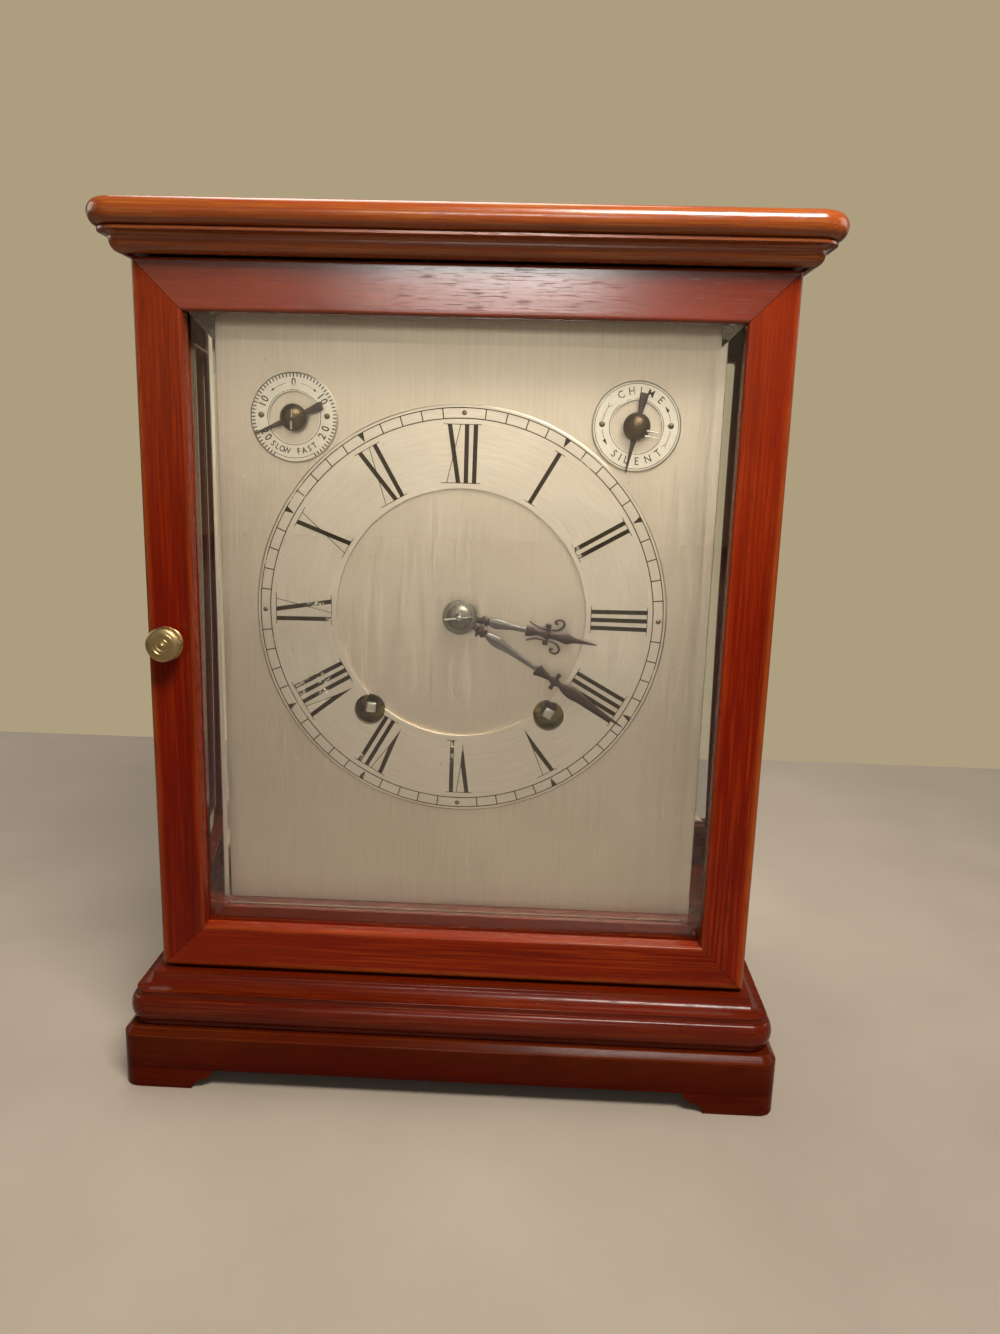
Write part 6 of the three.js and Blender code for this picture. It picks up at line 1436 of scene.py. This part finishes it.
settle(gong, "gong_wire", "case", "bright_steel", "gong", blued_steel, crease=60)

POST_X, POST_Y = 8.4, 44
stand = bmesh.new()
column = [
    (0, 44.1), (11.4, 44.1), (12, 44.7), (12, 46.6), (11.4, 47.2), (7.2, 48.6), (5.2, 50.4), (4.6, 52.6),
    (4.0, 62), (3.6, 80), (3.6, 88.6), (4.2, 89.6), (4.2, 91), (0, 91),
]
turned(stand, column, (POST_X, POST_Y, 0), "Z", 40)
holder = block(stand, (6.3, 10.5), (33.5, 47), (90.2, 94.7))
rounded(stand, edges_where(stand, lambda v: v in holder), 0.5, 2)
floor_screw = [(0, 48.0), (1.2, 47.9), (1.6, 47.4), (1.6, 46.8), (0, 46.8)]
for way in (0, 120, 240):
    x = POST_X + 9.4 * math.cos(math.radians(way))
    y = POST_Y + 9.4 * math.sin(math.radians(way))
    turned(stand, floor_screw, (x, y, 0), "Z", 16)
settle(stand, "gong_post", "case", "dark_steel", "gong_stand", iron, crease=28)

# Hammer: a steel arm on a stud of the back plate, with a turned brass head faced with hard leather.
HIDE_DARK, HIDE_PALE = (0.12, 0.06, 0.03, 1), (0.24, 0.13, 0.065, 1)
leather, leather_tree, leather_place, leather_face = new_finish("hammer_leather")
leather_grain = cloud(leather_tree, leather_place, 1600, 3)
leather_tone = between(leather_tree, leather_grain, 0.35, 0.65)
leather_tone = stained(leather_tree, leather_tone, HIDE_DARK, HIDE_PALE)
leather_tree.links.new(leather_tone, leather_face.inputs["Base Color"])
leather_bump = node(leather_tree, "ShaderNodeBump", Strength=0.4, Distance=0.0002, Height=leather_grain)
leather_tree.links.new(leather_bump.outputs[0], leather_face.inputs["Normal"])
leather_face.inputs["Roughness"].default_value = 0.75
hammer = bmesh.new()
hx, hz = HAMMER_STUD
turned(hammer, collar(1.9, 3.5, 34.9, 38.1, 0.2), (hx, 0, hz), "Y", 28)
turned(hammer, [(0, GONG_Z), (1.44, GONG_Z), (1.44, hz - 2.6), (0, hz - 2.6)], (hx, GONG_Y, 0), "Z", 18)
for face in hammer.faces:
    face.material_index = 1
head = bmesh.new()
head_profile = [
    (0, -3.9), (3.6, -3.9), (4.1, -3.7), (4.5, -3.2), (4.5, -1.2), (4.1, -0.9), (4.1, 0.9), (4.5, 1.2),
    (4.5, 4.6), (4.0, 5.2), (0, 5.3),
]
turned(head, head_profile, (0, 0, 0), "Z", 36)
before = set(head.faces)
turned(head, [(0, -5.2), (2.8, -5.2), (3.4, -4.8), (3.5, -3.8), (0, -3.8)], (0, 0, 0), "Z", 28)
coated(head, before, 2)
moved(head, head.verts, (hx, GONG_Y, GONG_Z), 90, "Y")
put_into(hammer, head)
settle(hammer, "hammer_and_head", "hammer", "brass", "hammer", drum_brass, bright_steel, leather, crease=28)

# The stage: a pale floor that keeps the clock's shadow, soft lamps, and a camera at the height and
# turn from which the clock is usually seen, a little above and to the right of its middle.
floor_mesh = bmesh.new()
bmesh.ops.create_grid(floor_mesh, x_segments=2, y_segments=2, size=1.6)
bmesh.ops.translate(floor_mesh, vec=(0, -1.21, 0), verts=floor_mesh.verts)
floor_sheet = bpy.data.meshes.new("studio_floor")
floor_mesh.to_mesh(floor_sheet)
floor_mesh.free()
floor = bpy.data.objects.new("studio_floor", floor_sheet)
bpy.context.scene.collection.objects.link(floor)
PAPER_DARK, PAPER_PALE = (0.27, 0.226, 0.178, 1), (0.30, 0.252, 0.2, 1)
paper, paper_tree, paper_place, paper_face = new_finish("floor_paper")
paper_tone = between(paper_tree, cloud(paper_tree, paper_place, 14, 5), 0.3, 0.7)
paper_tree.links.new(
    stained(paper_tree, paper_tone, PAPER_DARK, PAPER_PALE), paper_face.inputs["Base Color"],
)
paper_face.inputs["Roughness"].default_value = 0.7
floor_sheet.materials.append(paper)

world = bpy.data.worlds.new("studio")
world.use_nodes = True
sky = world.node_tree
sky_path = node(sky, "ShaderNodeLightPath").outputs
heading = node(sky, "ShaderNodeTexCoord").outputs["Generated"]
height = node(sky, "ShaderNodeSeparateXYZ", Vector=heading).outputs[2]
seen = maths(sky, "MAXIMUM", sky_path["Is Camera Ray"], sky_path["Is Transmission Ray"])
rising = stained(sky, between(sky, height, -0.075, 0.09), (0.08, 0.066, 0.05, 1), (0.62, 0.565, 0.47, 1))
mirrored = stained(sky, between(sky, height, 0.14, 0.175), rising, (0.15, 0.13, 0.105, 1))
sky_colour = stained(sky, sky_path["Is Glossy Ray"], (0.13, 0.124, 0.115, 1), mirrored)
backdrop = stained(
    sky, between(sky, height, -0.42, -0.33), (0.36, 0.305, 0.235, 1), (0.423, 0.342, 0.216, 1),
)
sky_colour = stained(sky, seen, sky_colour, backdrop)
sky.links.new(sky_colour, sky.nodes["Background"].inputs["Color"])
bpy.context.scene.world = world


def lamp(name, place, aim, size, power, colour, spread=180):
    """A soft lamp, aimed at a place and not seen itself."""
    light = bpy.data.lights.new(name, "AREA")
    light.shape, light.size, light.size_y = "RECTANGLE", size[0], size[1]
    light.energy, light.color, light.spread = power, colour, math.radians(spread)
    made = bpy.data.objects.new(name, light)
    made.location = place
    made.visible_camera = made.visible_transmission = False
    made.rotation_euler = (Vector(aim) - Vector(place)).to_track_quat("-Z", "Y").to_euler()
    bpy.context.scene.collection.objects.link(made)
    return made


lamp("ceiling", (0.2, -0.45, 0.76), (0.04, 0, 0.21), (0.3, 0.18), 2.8, (1.0, 0.95, 0.87), 90)
lamp("window", (-0.08, -2.0, 0.68), (0, 0, 0.3), (0.45, 0.2), 6.6, (1.0, 0.98, 0.94))
lamp("above", (-0.2, 0.55, 1.35), (0, 0.1, 0), (0.7, 0.7), 10, (1.0, 0.95, 0.88))
lamp("far floor", (0, -1.9, 1.5), (0, -1.9, 0), (0.6, 0.6), 4.5, (1.0, 0.95, 0.88), 110)
back_fill = lamp("back fill", (0.15, 1.8, 0.5), (0, 0, 0.15), (0.8, 0.4), 8, (1.0, 0.97, 0.93))
back_fill.visible_glossy = False

for side in (-1, 1):
    lamp("side fill", (1.3 * side, 0.15, 0.7), (0, 0, 0.15), (0.7, 0.6), 3.5, (1.0, 0.96, 0.9))

eye = Vector((0.02812, -0.42877, 0.24622))
yaw, pitch, roll = -0.0333, 0.2077, -0.0280
ahead = Vector((math.sin(yaw) * math.cos(pitch), math.cos(yaw) * math.cos(pitch), -math.sin(pitch)))
level = Vector((math.cos(yaw), -math.sin(yaw), 0))
down = ahead.cross(level)
right = math.cos(roll) * level + math.sin(roll) * down
below = -math.sin(roll) * level + math.cos(roll) * down
lens = bpy.data.cameras.new("photograph")
lens.sensor_fit, lens.sensor_width, lens.lens = "AUTO", 36.0, 26.52
lens.clip_start = 0.01
camera = bpy.data.objects.new("photograph", lens)
camera.matrix_world = Matrix((
    (right.x, -below.x, -ahead.x, eye.x), (right.y, -below.y, -ahead.y, eye.y),
    (right.z, -below.z, -ahead.z, eye.z), (0, 0, 0, 1),
))
bpy.context.scene.collection.objects.link(camera)
bpy.context.scene.camera = camera
bpy.context.scene.view_settings.view_transform = "Standard"
